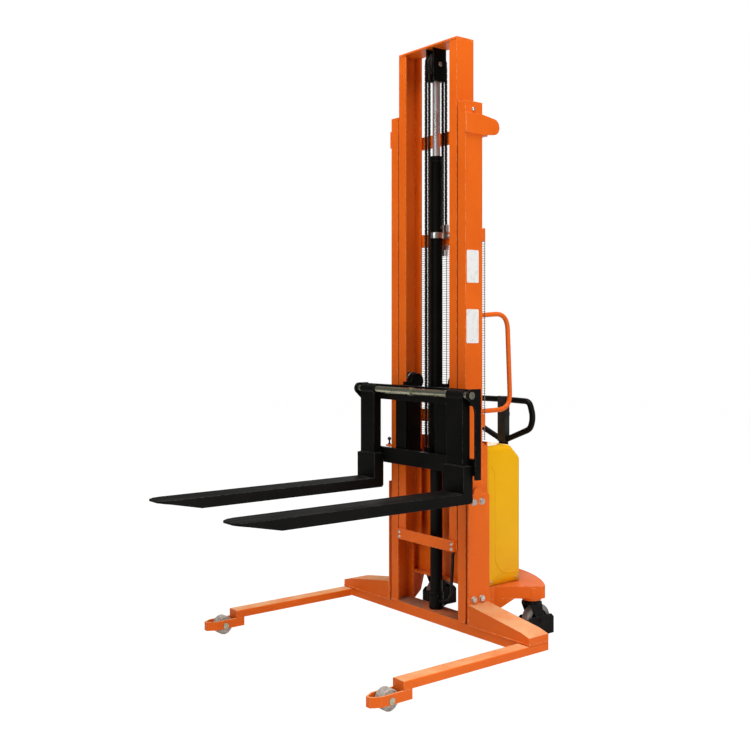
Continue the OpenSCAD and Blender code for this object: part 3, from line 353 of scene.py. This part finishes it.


# ---- Black enamel on the carriage, forks, cylinder, casters and tiller: satin, a little
# lumpy from the brush, grey along the edges (worn paint and a painted edge highlight), and
# scraped grey on top of the fork blades.
def black_enamel(name, edge_wear_and_highlight_share, rough, top_wear):
    """Black enamel; top_wear scrapes the faces that look up, in streaks along Y."""
    finish, tree, shader = new_finish(name, Specular_IOR_Level=0.09)
    edges = use_edges(tree, 0.0018, 70.0)
    shade = blend_colour(tree, step(tree, cloud(tree, 5, 4.0), 0.35, 0.7),
                         (0.0016, 0.0016, 0.0015, 1), (0.0050, 0.0048, 0.0042, 1))
    # Edges go grey: worn paint and a painted edge highlight.
    shade = blend_colour(tree, number(tree, "MULTIPLY", edges.outputs["Edge"],
                                      edge_wear_and_highlight_share), shade, (0.15, 0.15, 0.14, 1))
    along = add_node(tree, "ShaderNodeMapping", Vector=place_of(tree))
    along.inputs["Scale"].default_value = (60, 2.5, 60)
    streak = add_node(tree, "ShaderNodeTexNoise", Vector=along.outputs[0], Scale=1.0,
                      Detail=5.0, Roughness=0.65)
    scrape = number(tree, "MULTIPLY", facing_up(tree),
                    step(tree, streak.outputs[0], 0.48, 0.75))
    scrape = number(tree, "MULTIPLY", scrape, top_wear)
    shade = blend_colour(tree, scrape, shade, (0.055, 0.052, 0.048, 1))
    tree.links.new(shade, shader.inputs["Base Color"])
    gloss = number(tree, "ADD", rough, number(tree, "MULTIPLY", cloud(tree, 18, 4.0), 0.2))
    tree.links.new(gloss, shader.inputs["Roughness"])
    lumps = number(tree, "ADD", cloud(tree, 160, 2.0),
                   number(tree, "MULTIPLY", cloud(tree, 35, 3.0), 1.4))
    tree.links.new(add_node(tree, "ShaderNodeBump", Height=lumps, Strength=0.22,
                            Distance=0.001, Normal=edges.outputs["Normal"]).outputs[0],
                   shader.inputs["Normal"])
    return finish


black = black_enamel("black_enamel", 0.75, 0.34, 0.0)
fork_black = black_enamel("fork_enamel", 0.9, 0.38, 0.6)
finish_nodes(black, "cylinder_barrel", "pulley_block", "carriage_frame",
             "carriage_uprights", "left_caster_fork", "right_caster_fork",
             "tiller_bracket", "tiller_column", "tiller_loop", "pump_motor")
finish_nodes(fork_black, "left_fork", "right_fork")


# ---- Bare and plated metal: the ground fork shaft and roller axles, the hard-chromed piston
# rod, the zinc-plated bolts, clamp, chain anchors and key switch, and the dark greased
# rollers and pulley.
def bright_metal(name, clean, stained, rough, stain_scale, scratch):
    """Metal between a clean and a stained colour, with fine scratches round the bar."""
    finish, tree, shader = new_finish(name, Metallic=1.0)
    edges = use_edges(tree, 0.0008, 120.0)
    stain = step(tree, cloud(tree, stain_scale, 5.0, 0.6, 0.6), 0.42, 0.7)
    tree.links.new(blend_colour(tree, stain, clean, stained), shader.inputs["Base Color"])
    gloss = number(tree, "ADD", rough, number(tree, "MULTIPLY", stain, 0.18))
    tree.links.new(gloss, shader.inputs["Roughness"])
    lines = add_node(tree, "ShaderNodeMapping", Vector=place_of(tree))
    lines.inputs["Scale"].default_value = (900, 40, 40)
    fine = add_node(tree, "ShaderNodeTexNoise", Vector=lines.outputs[0], Scale=1.0,
                    Detail=2.0)
    tree.links.new(add_node(tree, "ShaderNodeBump", Height=fine.outputs[0],
                            Strength=scratch, Distance=0.0003,
                            Normal=edges.outputs["Normal"]).outputs[0],
                   shader.inputs["Normal"])
    return finish


ground = bright_metal("ground_steel", (0.50, 0.50, 0.38, 1), (0.27, 0.27, 0.18, 1), 0.26,
                      22, 0.12)
chrome = bright_metal("hard_chrome", (0.94, 0.94, 0.95, 1), (0.84, 0.85, 0.86, 1), 0.26,
                      9, 0.02)
zinc = bright_metal("zinc_plate", (0.66, 0.65, 0.62, 1), (0.45, 0.44, 0.40, 1), 0.30, 60,
                    0.08)
greased = bright_metal("greased_steel", (0.16, 0.16, 0.165, 1), (0.05, 0.05, 0.05, 1),
                       0.36, 40, 0.15)
finish_nodes(ground, "fork_shaft", "load_roller_axles")
finish_nodes(chrome, "piston_rod")
finish_nodes(zinc, "side_plate_bolts", "cylinder_clamp", "rear_chain_anchors",
             "key_switch")
finish_nodes(greased, "chain_pulley", "mast_rollers", "upper_carriage_rollers",
             "lower_carriage_rollers")


# ---- Rollers and caster wheels: nylon load rollers scuffed grey by the floor, white slide
# pads, and grey polyurethane treads round darker moulded hubs.
def nylon_finish():
    """Off-white nylon with grey scuffs, and scratches round the axle."""
    finish, tree, shader = new_finish("nylon", Subsurface_Weight=0.05)
    scuff = step(tree, cloud(tree, 70, 6.0, 0.7, 0.3), 0.35, 0.68)
    tree.links.new(blend_colour(tree, scuff, (0.52, 0.47, 0.42, 1),
                                (0.20, 0.17, 0.15, 1)), shader.inputs["Base Color"])
    tree.links.new(number(tree, "ADD", 0.38, number(tree, "MULTIPLY", scuff, 0.25)),
                   shader.inputs["Roughness"])
    edges = use_edges(tree, 0.0012)
    tree.links.new(add_node(tree, "ShaderNodeBump", Height=cloud(tree, 240, 4.0),
                            Strength=0.2, Distance=0.0006,
                            Normal=edges.outputs["Normal"]).outputs[0],
                   shader.inputs["Normal"])
    return finish


nylon = nylon_finish()
finish_nodes(nylon, "left_load_roller", "right_load_roller", "mast_slide_pads")

WHEEL_Y = MAST_Y + 0.362
WHEEL_Z = 0.075
RIM_R = 0.053


def wheel_finish():
    """Grey tread outside RIM_R from the wheel's axis and a darker hub inside it."""
    finish, tree, shader = new_finish("caster_wheel")
    split = add_node(tree, "ShaderNodeSeparateXYZ", Vector=place_of(tree))
    dy = number(tree, "SUBTRACT", split.outputs[1], WHEEL_Y)
    dz = number(tree, "SUBTRACT", split.outputs[2], WHEEL_Z)
    square = number(tree, "ADD", number(tree, "MULTIPLY", dy, dy),
                    number(tree, "MULTIPLY", dz, dz))
    tread = step(tree, number(tree, "SQRT", square), RIM_R - 0.001, RIM_R)
    scuff = step(tree, cloud(tree, 55, 6.0, 0.7), 0.35, 0.7)
    grey = blend_colour(tree, scuff, (0.26, 0.24, 0.22, 1), (0.14, 0.13, 0.12, 1))
    hub = blend_colour(tree, scuff, (0.030, 0.030, 0.031, 1), (0.055, 0.055, 0.055, 1))
    tree.links.new(blend_colour(tree, tread, hub, grey), shader.inputs["Base Color"])
    tree.links.new(number(tree, "ADD", 0.42, number(tree, "MULTIPLY", scuff, 0.25)),
                   shader.inputs["Roughness"])
    edges = use_edges(tree, 0.0015)
    tree.links.new(add_node(tree, "ShaderNodeBump", Height=cloud(tree, 180, 4.0),
                            Strength=0.25, Distance=0.0008,
                            Normal=edges.outputs["Normal"]).outputs[0],
                   shader.inputs["Normal"])
    return finish


finish_nodes(wheel_finish(), "left_caster_wheel", "right_caster_wheel")


# ---- Moulded plastics of the controls and the power unit: fine-grained black, the grey
# thumb rocker and the glossy red stop button.
def moulded(name, colour, worn, rough, grain):
    """Plastic with a fine grain and paler worn patches."""
    finish, tree, shader = new_finish(name)
    wear = step(tree, cloud(tree, 30, 5.0, 0.6), 0.45, 0.75)
    edges = use_edges(tree, 0.0012)
    shade = blend_colour(tree, wear, colour, worn)
    shade = blend_colour(tree, number(tree, "MULTIPLY", edges.outputs["Edge"], 0.5),
                         shade, worn)
    tree.links.new(shade, shader.inputs["Base Color"])
    tree.links.new(number(tree, "ADD", rough, number(tree, "MULTIPLY", wear, 0.12)),
                   shader.inputs["Roughness"])
    tree.links.new(add_node(tree, "ShaderNodeBump", Height=cloud(tree, 900, 2.0),
                            Strength=grain, Distance=0.0003,
                            Normal=edges.outputs["Normal"]).outputs[0],
                   shader.inputs["Normal"])
    return finish


black_plastic = moulded("black_plastic", (0.006, 0.006, 0.0065, 1),
                        (0.020, 0.020, 0.020, 1), 0.42, 0.35)
finish_nodes(black_plastic, "batteries", "oil_tank", "valve_lever", "tiller_head")
finish_nodes(moulded("grey_plastic", (0.19, 0.19, 0.195, 1), (0.28, 0.28, 0.28, 1), 0.4,
                     0.3), "thumb_rocker")
finish_nodes(moulded("red_plastic", (0.52, 0.012, 0.012, 1), (0.60, 0.05, 0.04, 1), 0.25,
                     0.05), "emergency_stop")


# ---- Screen behind the mast: thin black wires welded over a few upright wires, held
# between the two tie bars. It lies where the CAD's plain sheet lies.
def grid_faces(rows, cols, round_rows=False, round_cols=False):
    """Quads of a grid of points: cell (i, j) joins (i, j), (i+1, j), (i+1, j+1), (i, j+1)."""
    i, j = np.meshgrid(np.arange(rows if round_rows else rows - 1),
                       np.arange(cols if round_cols else cols - 1), indexing="ij")
    below, right = (i + 1) % rows, (j + 1) % cols
    return np.stack([i * cols + j, below * cols + j, below * cols + right,
                     i * cols + right], -1).reshape(-1, 4)


def tube(path, radius, sides):
    """Points and faces of a tube: round each point of the path a ring of that radius, square
    to the path's direction; both ends are closed by flat caps."""
    path = np.asarray(path, float)
    along = np.gradient(path, axis=0)
    along /= np.linalg.norm(along, axis=1, keepdims=True)
    side = np.array([0.31, 0.23, 0.92]) if abs(along[0] @ [0, 0, 1]) < 0.5 else \
        np.array([0.92, 0.31, 0.23])
    u = np.cross(along, side)
    u /= np.linalg.norm(u, axis=1, keepdims=True)
    v = np.cross(along, u)
    a = np.linspace(0, 2 * np.pi, sides, endpoint=False)
    reach = np.broadcast_to(np.asarray(radius, float), (len(path),))[:, None, None]
    ring = np.cos(a)[None, :, None] * u[:, None] + np.sin(a)[None, :, None] * v[:, None]
    points = (path[:, None] + reach * ring).reshape(-1, 3)
    faces = [tuple(f) for f in grid_faces(len(path), sides, round_cols=True)[:, ::-1]]
    last = (len(path) - 1) * sides
    faces.append(tuple(range(sides)))
    faces.append(tuple(last + k for k in range(sides - 1, -1, -1)))
    return points, faces


def together(shapes):
    """Several (points, faces) as one."""
    points, faces, first = [], [], 0
    for p, f in shapes:
        points.append(p)
        faces += [tuple(first + k for k in face) for face in f]
        first += len(p)
    return np.concatenate(points), faces


def new_piece(name, shape, finish, body=None, smooth=40):
    """Mesh object from (points, faces), smooth up to that angle, riding on a body."""
    points, faces = shape
    mesh = bpy.data.meshes.new(name)
    mesh.from_pydata(np.asarray(points).tolist(), [], faces)
    mesh.update()
    mesh.shade_smooth()
    mesh.set_sharp_from_angle(angle=math.radians(smooth))
    mesh.materials.append(finish)
    piece = bpy.data.objects.new(name, mesh)
    bpy.context.scene.collection.objects.link(piece)
    if body:
        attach(piece, body)
    return piece


wire_low, wire_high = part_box("mesh_guard")
WIRE_R = 0.0011
POST_R = 0.0016
WIRE_PITCH = 0.0105
screen_y = (wire_low[1] + wire_high[1]) / 2
rows = np.arange(wire_low[2] + 0.004, wire_high[2] - 0.003, WIRE_PITCH)
posts = np.linspace(wire_low[0] + 0.004, wire_high[0] - 0.004, 9)
wires = [tube([(wire_low[0], screen_y, z), (wire_high[0], screen_y, z)], WIRE_R, 6)
         for z in rows]
wires += [tube([(x, screen_y - WIRE_R, wire_low[2]), (x, screen_y - WIRE_R, wire_high[2])],
               POST_R, 6) for x in posts]
wire_finish = moulded("wire_enamel", (0.12, 0.12, 0.12, 1), (0.28, 0.27, 0.26, 1), 0.35,
                      0.1)
screen = new_piece("screen_wires", together(wires), wire_finish, "chassis")
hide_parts("mesh_guard")


# ---- Leaf chains: two strands, each of link plates laced two and two on pins. The front
# run goes down to the carriage, the rear run to the fixed tie bar, and between them they
# pass over the pulley.
PITCH = 0.0127
PLATE_T = 0.0021
PLATE_R = 0.0059
STRAND_X = 0.011
LACING = (0.0011, 0.0032)
PIN_HALF = 0.0054
PIN_R = 0.0025
FRONT_Y = MAST_Y + 0.005
REAR_Y = MAST_Y + 0.105
PULLEY = np.array([0, MAST_Y + 0.055, 2.558])
CHAIN_R = 0.050
FRONT_END = 0.841
REAR_END = 1.842
chain_finish = bright_metal("oiled_chain", (0.060, 0.060, 0.052, 1),
                            (0.016, 0.015, 0.012, 1), 0.40, 120, 0.1)


def link_plate(x):
    """Figure-of-eight plate in the YZ plane: two round ends one pitch apart with a waist."""
    a = np.radians([-60, -20, 20, 60])
    upper = np.stack([PLATE_R * np.sin(a), PITCH / 2 + PLATE_R * np.cos(a)], 1)
    waist = np.array([[PLATE_R * 0.78, 0.0]])
    outline = np.concatenate([upper, waist, -upper, -waist])
    n = len(outline)
    points = np.concatenate([np.c_[np.full(n, x + s * PLATE_T / 2), outline]
                             for s in (-1, 1)])
    faces = [tuple(f) for f in grid_faces(2, n, round_cols=True)]
    faces += [tuple(range(n)), tuple(2 * n - 1 - k for k in range(n))]
    return points, faces


def link(odd):
    """One link of a strand: two plates, laced with the next link's, and one pin."""
    near, far = LACING
    left, right = (-far, near) if odd else (-near, far)
    pin = tube([(-PIN_HALF, 0, -PITCH / 2), (PIN_HALF, 0, -PITCH / 2)], PIN_R, 6)
    return together([link_plate(left), link_plate(right), pin])


def laid_links(centres, directions):
    """Links at centres, each turned about X so that its length lies along its direction."""
    shapes = []
    for side in (-1, 1):
        for k, (c, d) in enumerate(zip(centres, directions)):
            points, faces = link(k % 2)
            y = points[:, 1] * d[2] + points[:, 2] * d[1]
            z = -points[:, 1] * d[1] + points[:, 2] * d[2]
            shapes.append((np.c_[points[:, 0] + side * STRAND_X, y, z] + c, faces))
    return together(shapes)


def straight_run(y, low, high):
    """Links up a vertical line, with the lowest pin just above its clevis."""
    z = np.arange(low + PLATE_R + PITCH / 2, high, PITCH)
    centres = np.c_[np.zeros_like(z), np.full_like(z, y), z]
    return laid_links(centres, np.tile([0.0, 0.0, 1.0], (len(z), 1)))


def over_pulley():
    """Links on half a circle of CHAIN_R about the pulley, each along the tangent."""
    count = int(round(math.pi * CHAIN_R / PITCH))
    a = np.pi * (np.arange(count) + 0.5) / count
    centres = PULLEY + CHAIN_R * np.c_[np.zeros_like(a), -np.cos(a), np.sin(a)]
    return laid_links(centres, np.c_[np.zeros_like(a), np.sin(a), np.cos(a)])


chain_front = new_piece("chain_front_run", straight_run(FRONT_Y, FRONT_END, PULLEY[2]),
                        chain_finish)
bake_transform(chain_front)
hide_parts("lift_chain_front")
chain_rear = new_piece("chain_rear_run", straight_run(REAR_Y, REAR_END, PULLEY[2]),
                       chain_finish)
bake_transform(chain_rear)
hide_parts("lift_chain_rear")
new_piece("chain_over_pulley", over_pulley(), chain_finish, "inner_mast")


# ---- Cover of the power unit: one deep moulding in glossy yellow plastic with rounded
# edges, open in front and below, a raised line along each side and two screws a side.
cover_low, cover_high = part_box("power_cover")
COVER_ROUND = 0.024
COVER_WALL = 0.004
SLOPE_RUN = 0.064
SLOPE_DROP = 0.061
BROW_R = 0.030
RIDGE_SHIFT = math.tan(math.radians(19))
BROW_SHIFT = 0.35


def corner_arc(before, corner, after, radius, steps):
    """Arc of that radius that joins two straight lines at a corner."""
    a = (before - corner) / np.linalg.norm(before - corner)
    b = (after - corner) / np.linalg.norm(after - corner)
    half = math.acos(float(np.clip(a @ b, -1, 1))) / 2
    reach = radius / math.tan(half)
    centre = corner + (a + b) / np.linalg.norm(a + b) * radius / math.sin(half)
    start, stop = corner + a * reach - centre, corner + b * reach - centre
    t = np.linspace(0, 1, steps)[:, None]
    turn = math.pi - 2 * half
    return centre + (np.sin((1 - t) * turn) * start + np.sin(t * turn) * stop) / math.sin(turn)


def cover_profile(inset):
    """Side outline as (y, z) rows from the front of the top to the foot of the rear, drawn
    inwards by inset, and how many of its points lie before the rear face."""
    front, rear = cover_low[1], cover_high[1] - inset
    top = cover_high[2] - inset
    ridge = np.array([cover_high[1] - SLOPE_RUN - inset * RIDGE_SHIFT, top])
    brow = np.array([rear, cover_high[2] - SLOPE_DROP - inset * BROW_SHIFT])
    start, foot = np.array([front, top]), np.array([rear, cover_low[2]])
    flat = start + (ridge - start) * np.linspace(0, 0.75, 7)[:, None]
    upper = np.concatenate([flat, corner_arc(start, ridge, brow, BROW_R, 7),
                            corner_arc(ridge, brow, foot, BROW_R - inset * 0.5, 8)])
    down = upper[-1] + (foot - upper[-1]) * np.linspace(0, 1, 22)[1:, None]
    return np.concatenate([upper, down]), len(upper)


def cover_skin():
    """Outer skin: the outline carried across X, drawn in round both edges by a quarter circle,
    then each side filled by columns from the outline down to the foot."""
    half = cover_high[0]
    a = np.radians(np.linspace(90, 0, 7))
    edge_x = half - COVER_ROUND + COVER_ROUND * np.sin(a)
    across = np.concatenate([-edge_x, np.linspace(-edge_x[-1], edge_x[-1], 9)[1:-1],
                             edge_x[::-1]])
    inset = COVER_ROUND * (1 - np.cos(a))
    insets = np.concatenate([inset, np.zeros(7), inset[::-1]])
    strips = np.array([np.c_[np.full(len(cover_profile(i)[0]), x), cover_profile(i)[0]]
                       for x, i in zip(across, insets)])
    rows_n, cols_n = strips.shape[:2]
    shapes = [(strips.reshape(-1, 3), [tuple(f) for f in grid_faces(rows_n, cols_n)])]
    outline, bend = cover_profile(COVER_ROUND)
    share = (outline[bend - 1:, 1] - cover_low[2]) / (outline[bend - 1, 1] - cover_low[2])
    height = cover_low[2] + share[None, :] * (outline[:bend, 1][:, None] - cover_low[2])
    y = np.broadcast_to(outline[:bend, 0][:, None], height.shape)
    for side in (-1, 1):
        points = np.stack([np.full_like(height, side * half), y, height], -1)
        faces = grid_faces(*height.shape)
        faces = faces if side < 0 else faces[:, ::-1]
        shapes.append((points.reshape(-1, 3), [tuple(f) for f in faces]))
    return together(shapes)


yellow, tree, shader = new_finish("yellow_moulding", Coat_Weight=0.10, Coat_Roughness=0.10,
                                  Specular_IOR_Level=0.12)
patchy = step(tree, cloud(tree, 3.5, 4.0, 0.5), 0.3, 0.7)
shade = blend_colour(tree, patchy, (0.80, 0.40, 0.003, 1), (0.86, 0.45, 0.005, 1))
split = add_node(tree, "ShaderNodeSeparateXYZ", Vector=place_of(tree))
low_down = step(tree, split.outputs[2], 0.36, 0.24)
grime = number(tree, "MULTIPLY", low_down, step(tree, cloud(tree, 22, 6.0, 0.7), 0.45, 0.8))
tree.links.new(blend_colour(tree, number(tree, "MULTIPLY", grime, 0.5), shade,
                            (0.30, 0.19, 0.06, 1)), shader.inputs["Base Color"])
tree.links.new(number(tree, "ADD", 0.26, number(tree, "MULTIPLY", cloud(tree, 12), 0.12)),
               shader.inputs["Roughness"])
tree.links.new(add_node(tree, "ShaderNodeBump", Height=cloud(tree, 300, 1.0),
                        Strength=0.06, Distance=0.0006).outputs[0],
               shader.inputs["Normal"])

cover = new_piece("cover_moulding", cover_skin(), yellow, "chassis",
                  smooth=50)
shell = bmesh.new()
shell.from_mesh(cover.data)
bmesh.ops.remove_doubles(shell, verts=shell.verts, dist=0.00002)
bmesh.ops.recalc_face_normals(shell, faces=shell.faces)
shell.to_mesh(cover.data)
shell.free()
wall = cover.modifiers.new("wall", "SOLIDIFY")
wall.thickness = COVER_WALL
wall.offset = -1
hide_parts("power_cover")

RIDGE_R = 0.0022
LINE_SUNK = 0.0005
LINE_Y = 0.190
LINE_TURN_Y = 0.085
LINE_TURN_Z = 0.084
LINE_TURN_TOP = 0.370


def raised_line(side):
    """Half-sunk bead on a side of the cover: a short slant, down the front, a quarter turn
    and along the foot to the rear."""
    x = side * (cover_high[0] - LINE_SUNK)
    turn = np.radians(np.linspace(0, 90, 10))
    bend = np.c_[MAST_Y + LINE_Y + LINE_TURN_Y * (1 - np.cos(turn)),
                 LINE_TURN_TOP - LINE_TURN_Z * np.sin(turn)]
    line = np.concatenate([[(MAST_Y + 0.157, 0.778), (MAST_Y + 0.186, 0.744),
                            (MAST_Y + LINE_Y, 0.60)], bend,
                           [(MAST_Y + 0.338, LINE_TURN_TOP - LINE_TURN_Z)]])
    return tube(np.c_[np.full(len(line), x), line], RIDGE_R, 10)


new_piece("cover_raised_lines", together([raised_line(-1), raised_line(1)]), yellow,
          "chassis")


# ---- Small fixings: domed screws in the cover and on the mast, button-headed bolts in the
# foot strap of the inner mast, and the caps on the ends of the pulley's pin.
def dome(centre, outward, radius, height, rings=5, sides=20):
    """Domed head: a quarter ellipse turned about the outward direction, closed below."""
    outward = np.asarray(outward, float)
    u = np.cross(outward, [0.2, 0.3, 0.93])
    u /= np.linalg.norm(u)
    v = np.cross(outward, u)
    a = np.linspace(0, np.pi / 2, rings)[:-1]
    b = np.linspace(0, 2 * np.pi, sides, endpoint=False)
    flat = radius * np.cos(a)[:, None]
    up = height * (0.35 + 0.65 * np.sin(a))
    flat, up = np.concatenate([[[radius]], flat]), np.concatenate([[0.0], up])
    points = centre + (flat[:, :, None] * (np.cos(b)[None, :, None] * u +
                                           np.sin(b)[None, :, None] * v) +
                       up[:, None, None] * outward)
    faces = [tuple(f) for f in grid_faces(len(up), sides, round_cols=True)]
    last = (len(up) - 1) * sides
    faces.append(tuple(range(sides - 1, -1, -1)))
    tip = len(up) * sides
    faces += [(last + k, last + (k + 1) % sides, tip) for k in range(sides)]
    return np.concatenate([points.reshape(-1, 3), [centre + height * outward]]), faces


SCREW_Z = 0.259
STUD_Z = 2.316
side_x = float(cover_high[0])
screws = [dome((s * side_x, MAST_Y + y, SCREW_Z), (s, 0, 0), 0.0055, 0.0035)
          for s in (-1, 1) for y in (0.166, 0.322)]
mast_side = float(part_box("outer_mast_right")[1][0])
screws.append(dome((mast_side, MAST_Y + 0.047, STUD_Z), (1, 0, 0), 0.009, 0.006))
new_piece("cover_screws", together(screws), zinc, "chassis")

STRAP_BOLT_X = 0.176
strap_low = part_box("inner_bottom_strap")[0]
strap_bolts = [dome((x, strap_low[1], z), (0, -1, 0), 0.0075, 0.005)
               for x in (-STRAP_BOLT_X, STRAP_BOLT_X) for z in (0.416, 0.437)]
new_piece("strap_bolts", together(strap_bolts), zinc, "inner_mast")

block_low, block_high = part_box("pulley_block")
pin_caps = [dome((x, PULLEY[1], PULLEY[2]), (s, 0, 0), 0.0105, 0.003)
            for s, x in ((-1, block_low[0]), (1, block_high[0]))]
new_piece("pulley_pin_caps", together(pin_caps), zinc, "inner_mast")


# ---- Weld beads: rippled runs of weld, painted over, where the wedges meet the side plates
# and beam, round the feet of the mast, the tongue plates, and the shanks on the fork heels.
def weld(*corners, size=0.004, ripple=0.0045):
    """Bead along straight runs between corners; its radius swells once every ripple."""
    corners = np.array(corners, float)
    runs = []
    for a, b in zip(corners[:-1], corners[1:]):
        length = np.linalg.norm(b - a)
        n = max(4, int(length / ripple * 3))
        t = np.linspace(0, 1, n)[:, None]
        swell = size * (0.86 + 0.16 * np.abs(np.sin(np.pi * t[:, 0] * length / ripple)))
        runs.append(tube(a + (b - a) * t, swell, 8))
    return together(runs)


MAST_FACE = 0.047
MAST_DEPTH = 0.100
TONGUE_BEAD = (0.006, 0.082)
TIE_BEAD = (1.7515, 1.806)
WEDGE_END_X = 0.620
LEG_JOINT_X = 0.558
LEG_BEAD = (0.0665, 0.097)
beam_z, wedge_z = (float(corner[2]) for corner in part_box("wedge_gussets"))
foot_z = float(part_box("outer_mast_right")[0][2])
tongue_z = float(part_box("upper_tie")[0][2])
plate_x = float(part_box("right_side_plate")[1][0])
beam_y = float(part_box("base_beam")[1][1])
inner_edge = mast_side - MAST_FACE
chassis_welds = []
for s in (-1, 1):
    chassis_welds += [
        weld((s * (plate_x + 0.001), MAST_Y + 0.008, wedge_z),
             (s * (plate_x + 0.001), beam_y - 0.004, wedge_z)),
        weld((s * plate_x, MAST_Y, wedge_z - 0.004), (s * plate_x, MAST_Y, beam_z),
             size=0.0035),
        weld((s * (plate_x + 0.002), MAST_Y, beam_z), (s * WEDGE_END_X, MAST_Y, beam_z),
             size=0.0035),
        weld((s * inner_edge, MAST_Y + 0.001, foot_z),
             (s * mast_side, MAST_Y + 0.001, foot_z)),
        weld((s * inner_edge, MAST_Y + 0.001, foot_z),
             (s * inner_edge, MAST_Y + 0.010, foot_z), size=0.003),
        weld(*((s * (mast_side + 0.004), MAST_Y, tongue_z + z) for z in TONGUE_BEAD),
             size=0.0035),
        weld(*((s * mast_side, MAST_Y + MAST_DEPTH, z) for z in TIE_BEAD), size=0.003),
        weld(*((s * LEG_JOINT_X, MAST_Y - 0.001, z) for z in LEG_BEAD), size=0.0035),
    ]
new_piece("chassis_welds", together(chassis_welds), orange, "chassis")

head_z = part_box("inner_top_plate")[0][2]
head_welds = [weld(*((s * x, MAST_Y + 0.0005, head_z) for x in (0.150, 0.194)), size=0.0025)
              for s in (-1, 1)]
new_piece("inner_mast_welds", together(head_welds), orange, "inner_mast")

HEEL_Z = 0.798
SHANK_FRONT = MAST_Y - 0.107
SHANK_REAR = MAST_Y - 0.067
FORK_X = 0.2975
SHANK_HALF = 0.050
for name, middle in (("left_fork", -FORK_X), ("right_fork", FORK_X)):
    x0, x1 = middle - SHANK_HALF, middle + SHANK_HALF
    bead = weld((x0, SHANK_REAR, HEEL_Z), (x0, SHANK_FRONT, HEEL_Z),
                (x1, SHANK_FRONT, HEEL_Z), (x1, SHANK_REAR, HEEL_Z), size=0.0045)
    new_piece(name + "_weld", bead, fork_black, name)


# ---- Blank label plates on the mast's right side: thin film with rounded corners, off-white
# with grey mottling, nothing printed.
def label(y0, y1, z0, z1, x, thickness=0.0005, radius=0.006):
    """Rounded rectangle in the YZ plane with its thickness along +X."""
    a = np.radians(np.linspace(0, 90, 7))
    arc = np.c_[np.cos(a), np.sin(a)] * radius
    outline = []
    for cy, cz, turn in ((y1 - radius, z1 - radius, 0), (y0 + radius, z1 - radius, 1),
                         (y0 + radius, z0 + radius, 2), (y1 - radius, z0 + radius, 3)):
        c, s = (1, 0, -1, 0)[turn], (0, 1, 0, -1)[turn]
        outline.append(np.c_[cy + arc[:, 0] * c - arc[:, 1] * s,
                             cz + arc[:, 0] * s + arc[:, 1] * c])
    outline = np.concatenate(outline)
    n = len(outline)
    points = np.concatenate([np.c_[np.full(n, x + t), outline] for t in (0, thickness)])
    faces = [tuple(f) for f in grid_faces(2, n, round_cols=True)[:, ::-1]]
    faces += [tuple(range(n - 1, -1, -1)), tuple(range(n, 2 * n))]
    return points, faces


film, tree, shader = new_finish("label_film", Coat_Weight=0.3, Coat_Roughness=0.1)
tree.links.new(blend_colour(tree, step(tree, cloud(tree, 40, 5.0), 0.5, 0.8),
                            (0.82, 0.82, 0.80, 1), (0.62, 0.61, 0.58, 1)),
               shader.inputs["Base Color"])
tree.links.new(number(tree, "ADD", 0.3, number(tree, "MULTIPLY", cloud(tree, 25), 0.2)),
               shader.inputs["Roughness"])
LABEL_REAR = MAST_Y + 0.078
labels = [label(MAST_Y + 0.008, LABEL_REAR, 1.568, 1.709, mast_side),
          label(MAST_Y + 0.006, LABEL_REAR, 1.308, 1.454, mast_side)]
new_piece("label_plates", together(labels), film, "chassis")


# ---- Return pipe: a thin steel pipe from the gland down beside the barrel, clipped at the
# strap, and the crimped sleeves at both ends of the pressure hose. All are painted black.
PIPE_R = 0.0032
PIPE_X = 0.0345
PIPE_Y = MAST_Y + 0.057
PORT_X = 0.024
GLAND_Z = 2.132
CLIP_Z = 1.818
pipe_path = [(x, PIPE_Y, z) for x, z in (
    (PORT_X, GLAND_Z), (0.030, GLAND_Z), (PIPE_X - 0.001, 2.127), (PIPE_X, 2.115),
    (PIPE_X, 2.00), (PIPE_X, 1.90), (PIPE_X, 1.83), (PIPE_X - 0.001, 1.823),
    (0.028, CLIP_Z), (PORT_X, CLIP_Z))]
new_piece("return_pipe", tube(pipe_path, PIPE_R, 10), black, "chassis")

SLEEVE_R = 0.0098


def sleeve(start, along, length):
    """Crimped sleeve: a round bar with four shallow grooves, slightly tapered."""
    t = np.linspace(0, 1, 25)
    radius = SLEEVE_R * (1 - 0.07 * t) * (1 - 0.06 * (np.sin(t * np.pi * 4) ** 8))
    path = np.asarray(start) + np.outer(t * length, along)
    return tube(path, radius, 16)


sleeves = [sleeve(hose_points[0] - [0.002, 0, 0], (1, 0, 0), 0.018),
           sleeve(hose_points[-1] + [0, 0.0005, 0], (0, -1, 0), 0.022)]
new_piece("hose_sleeves", together(sleeves), black, "chassis")
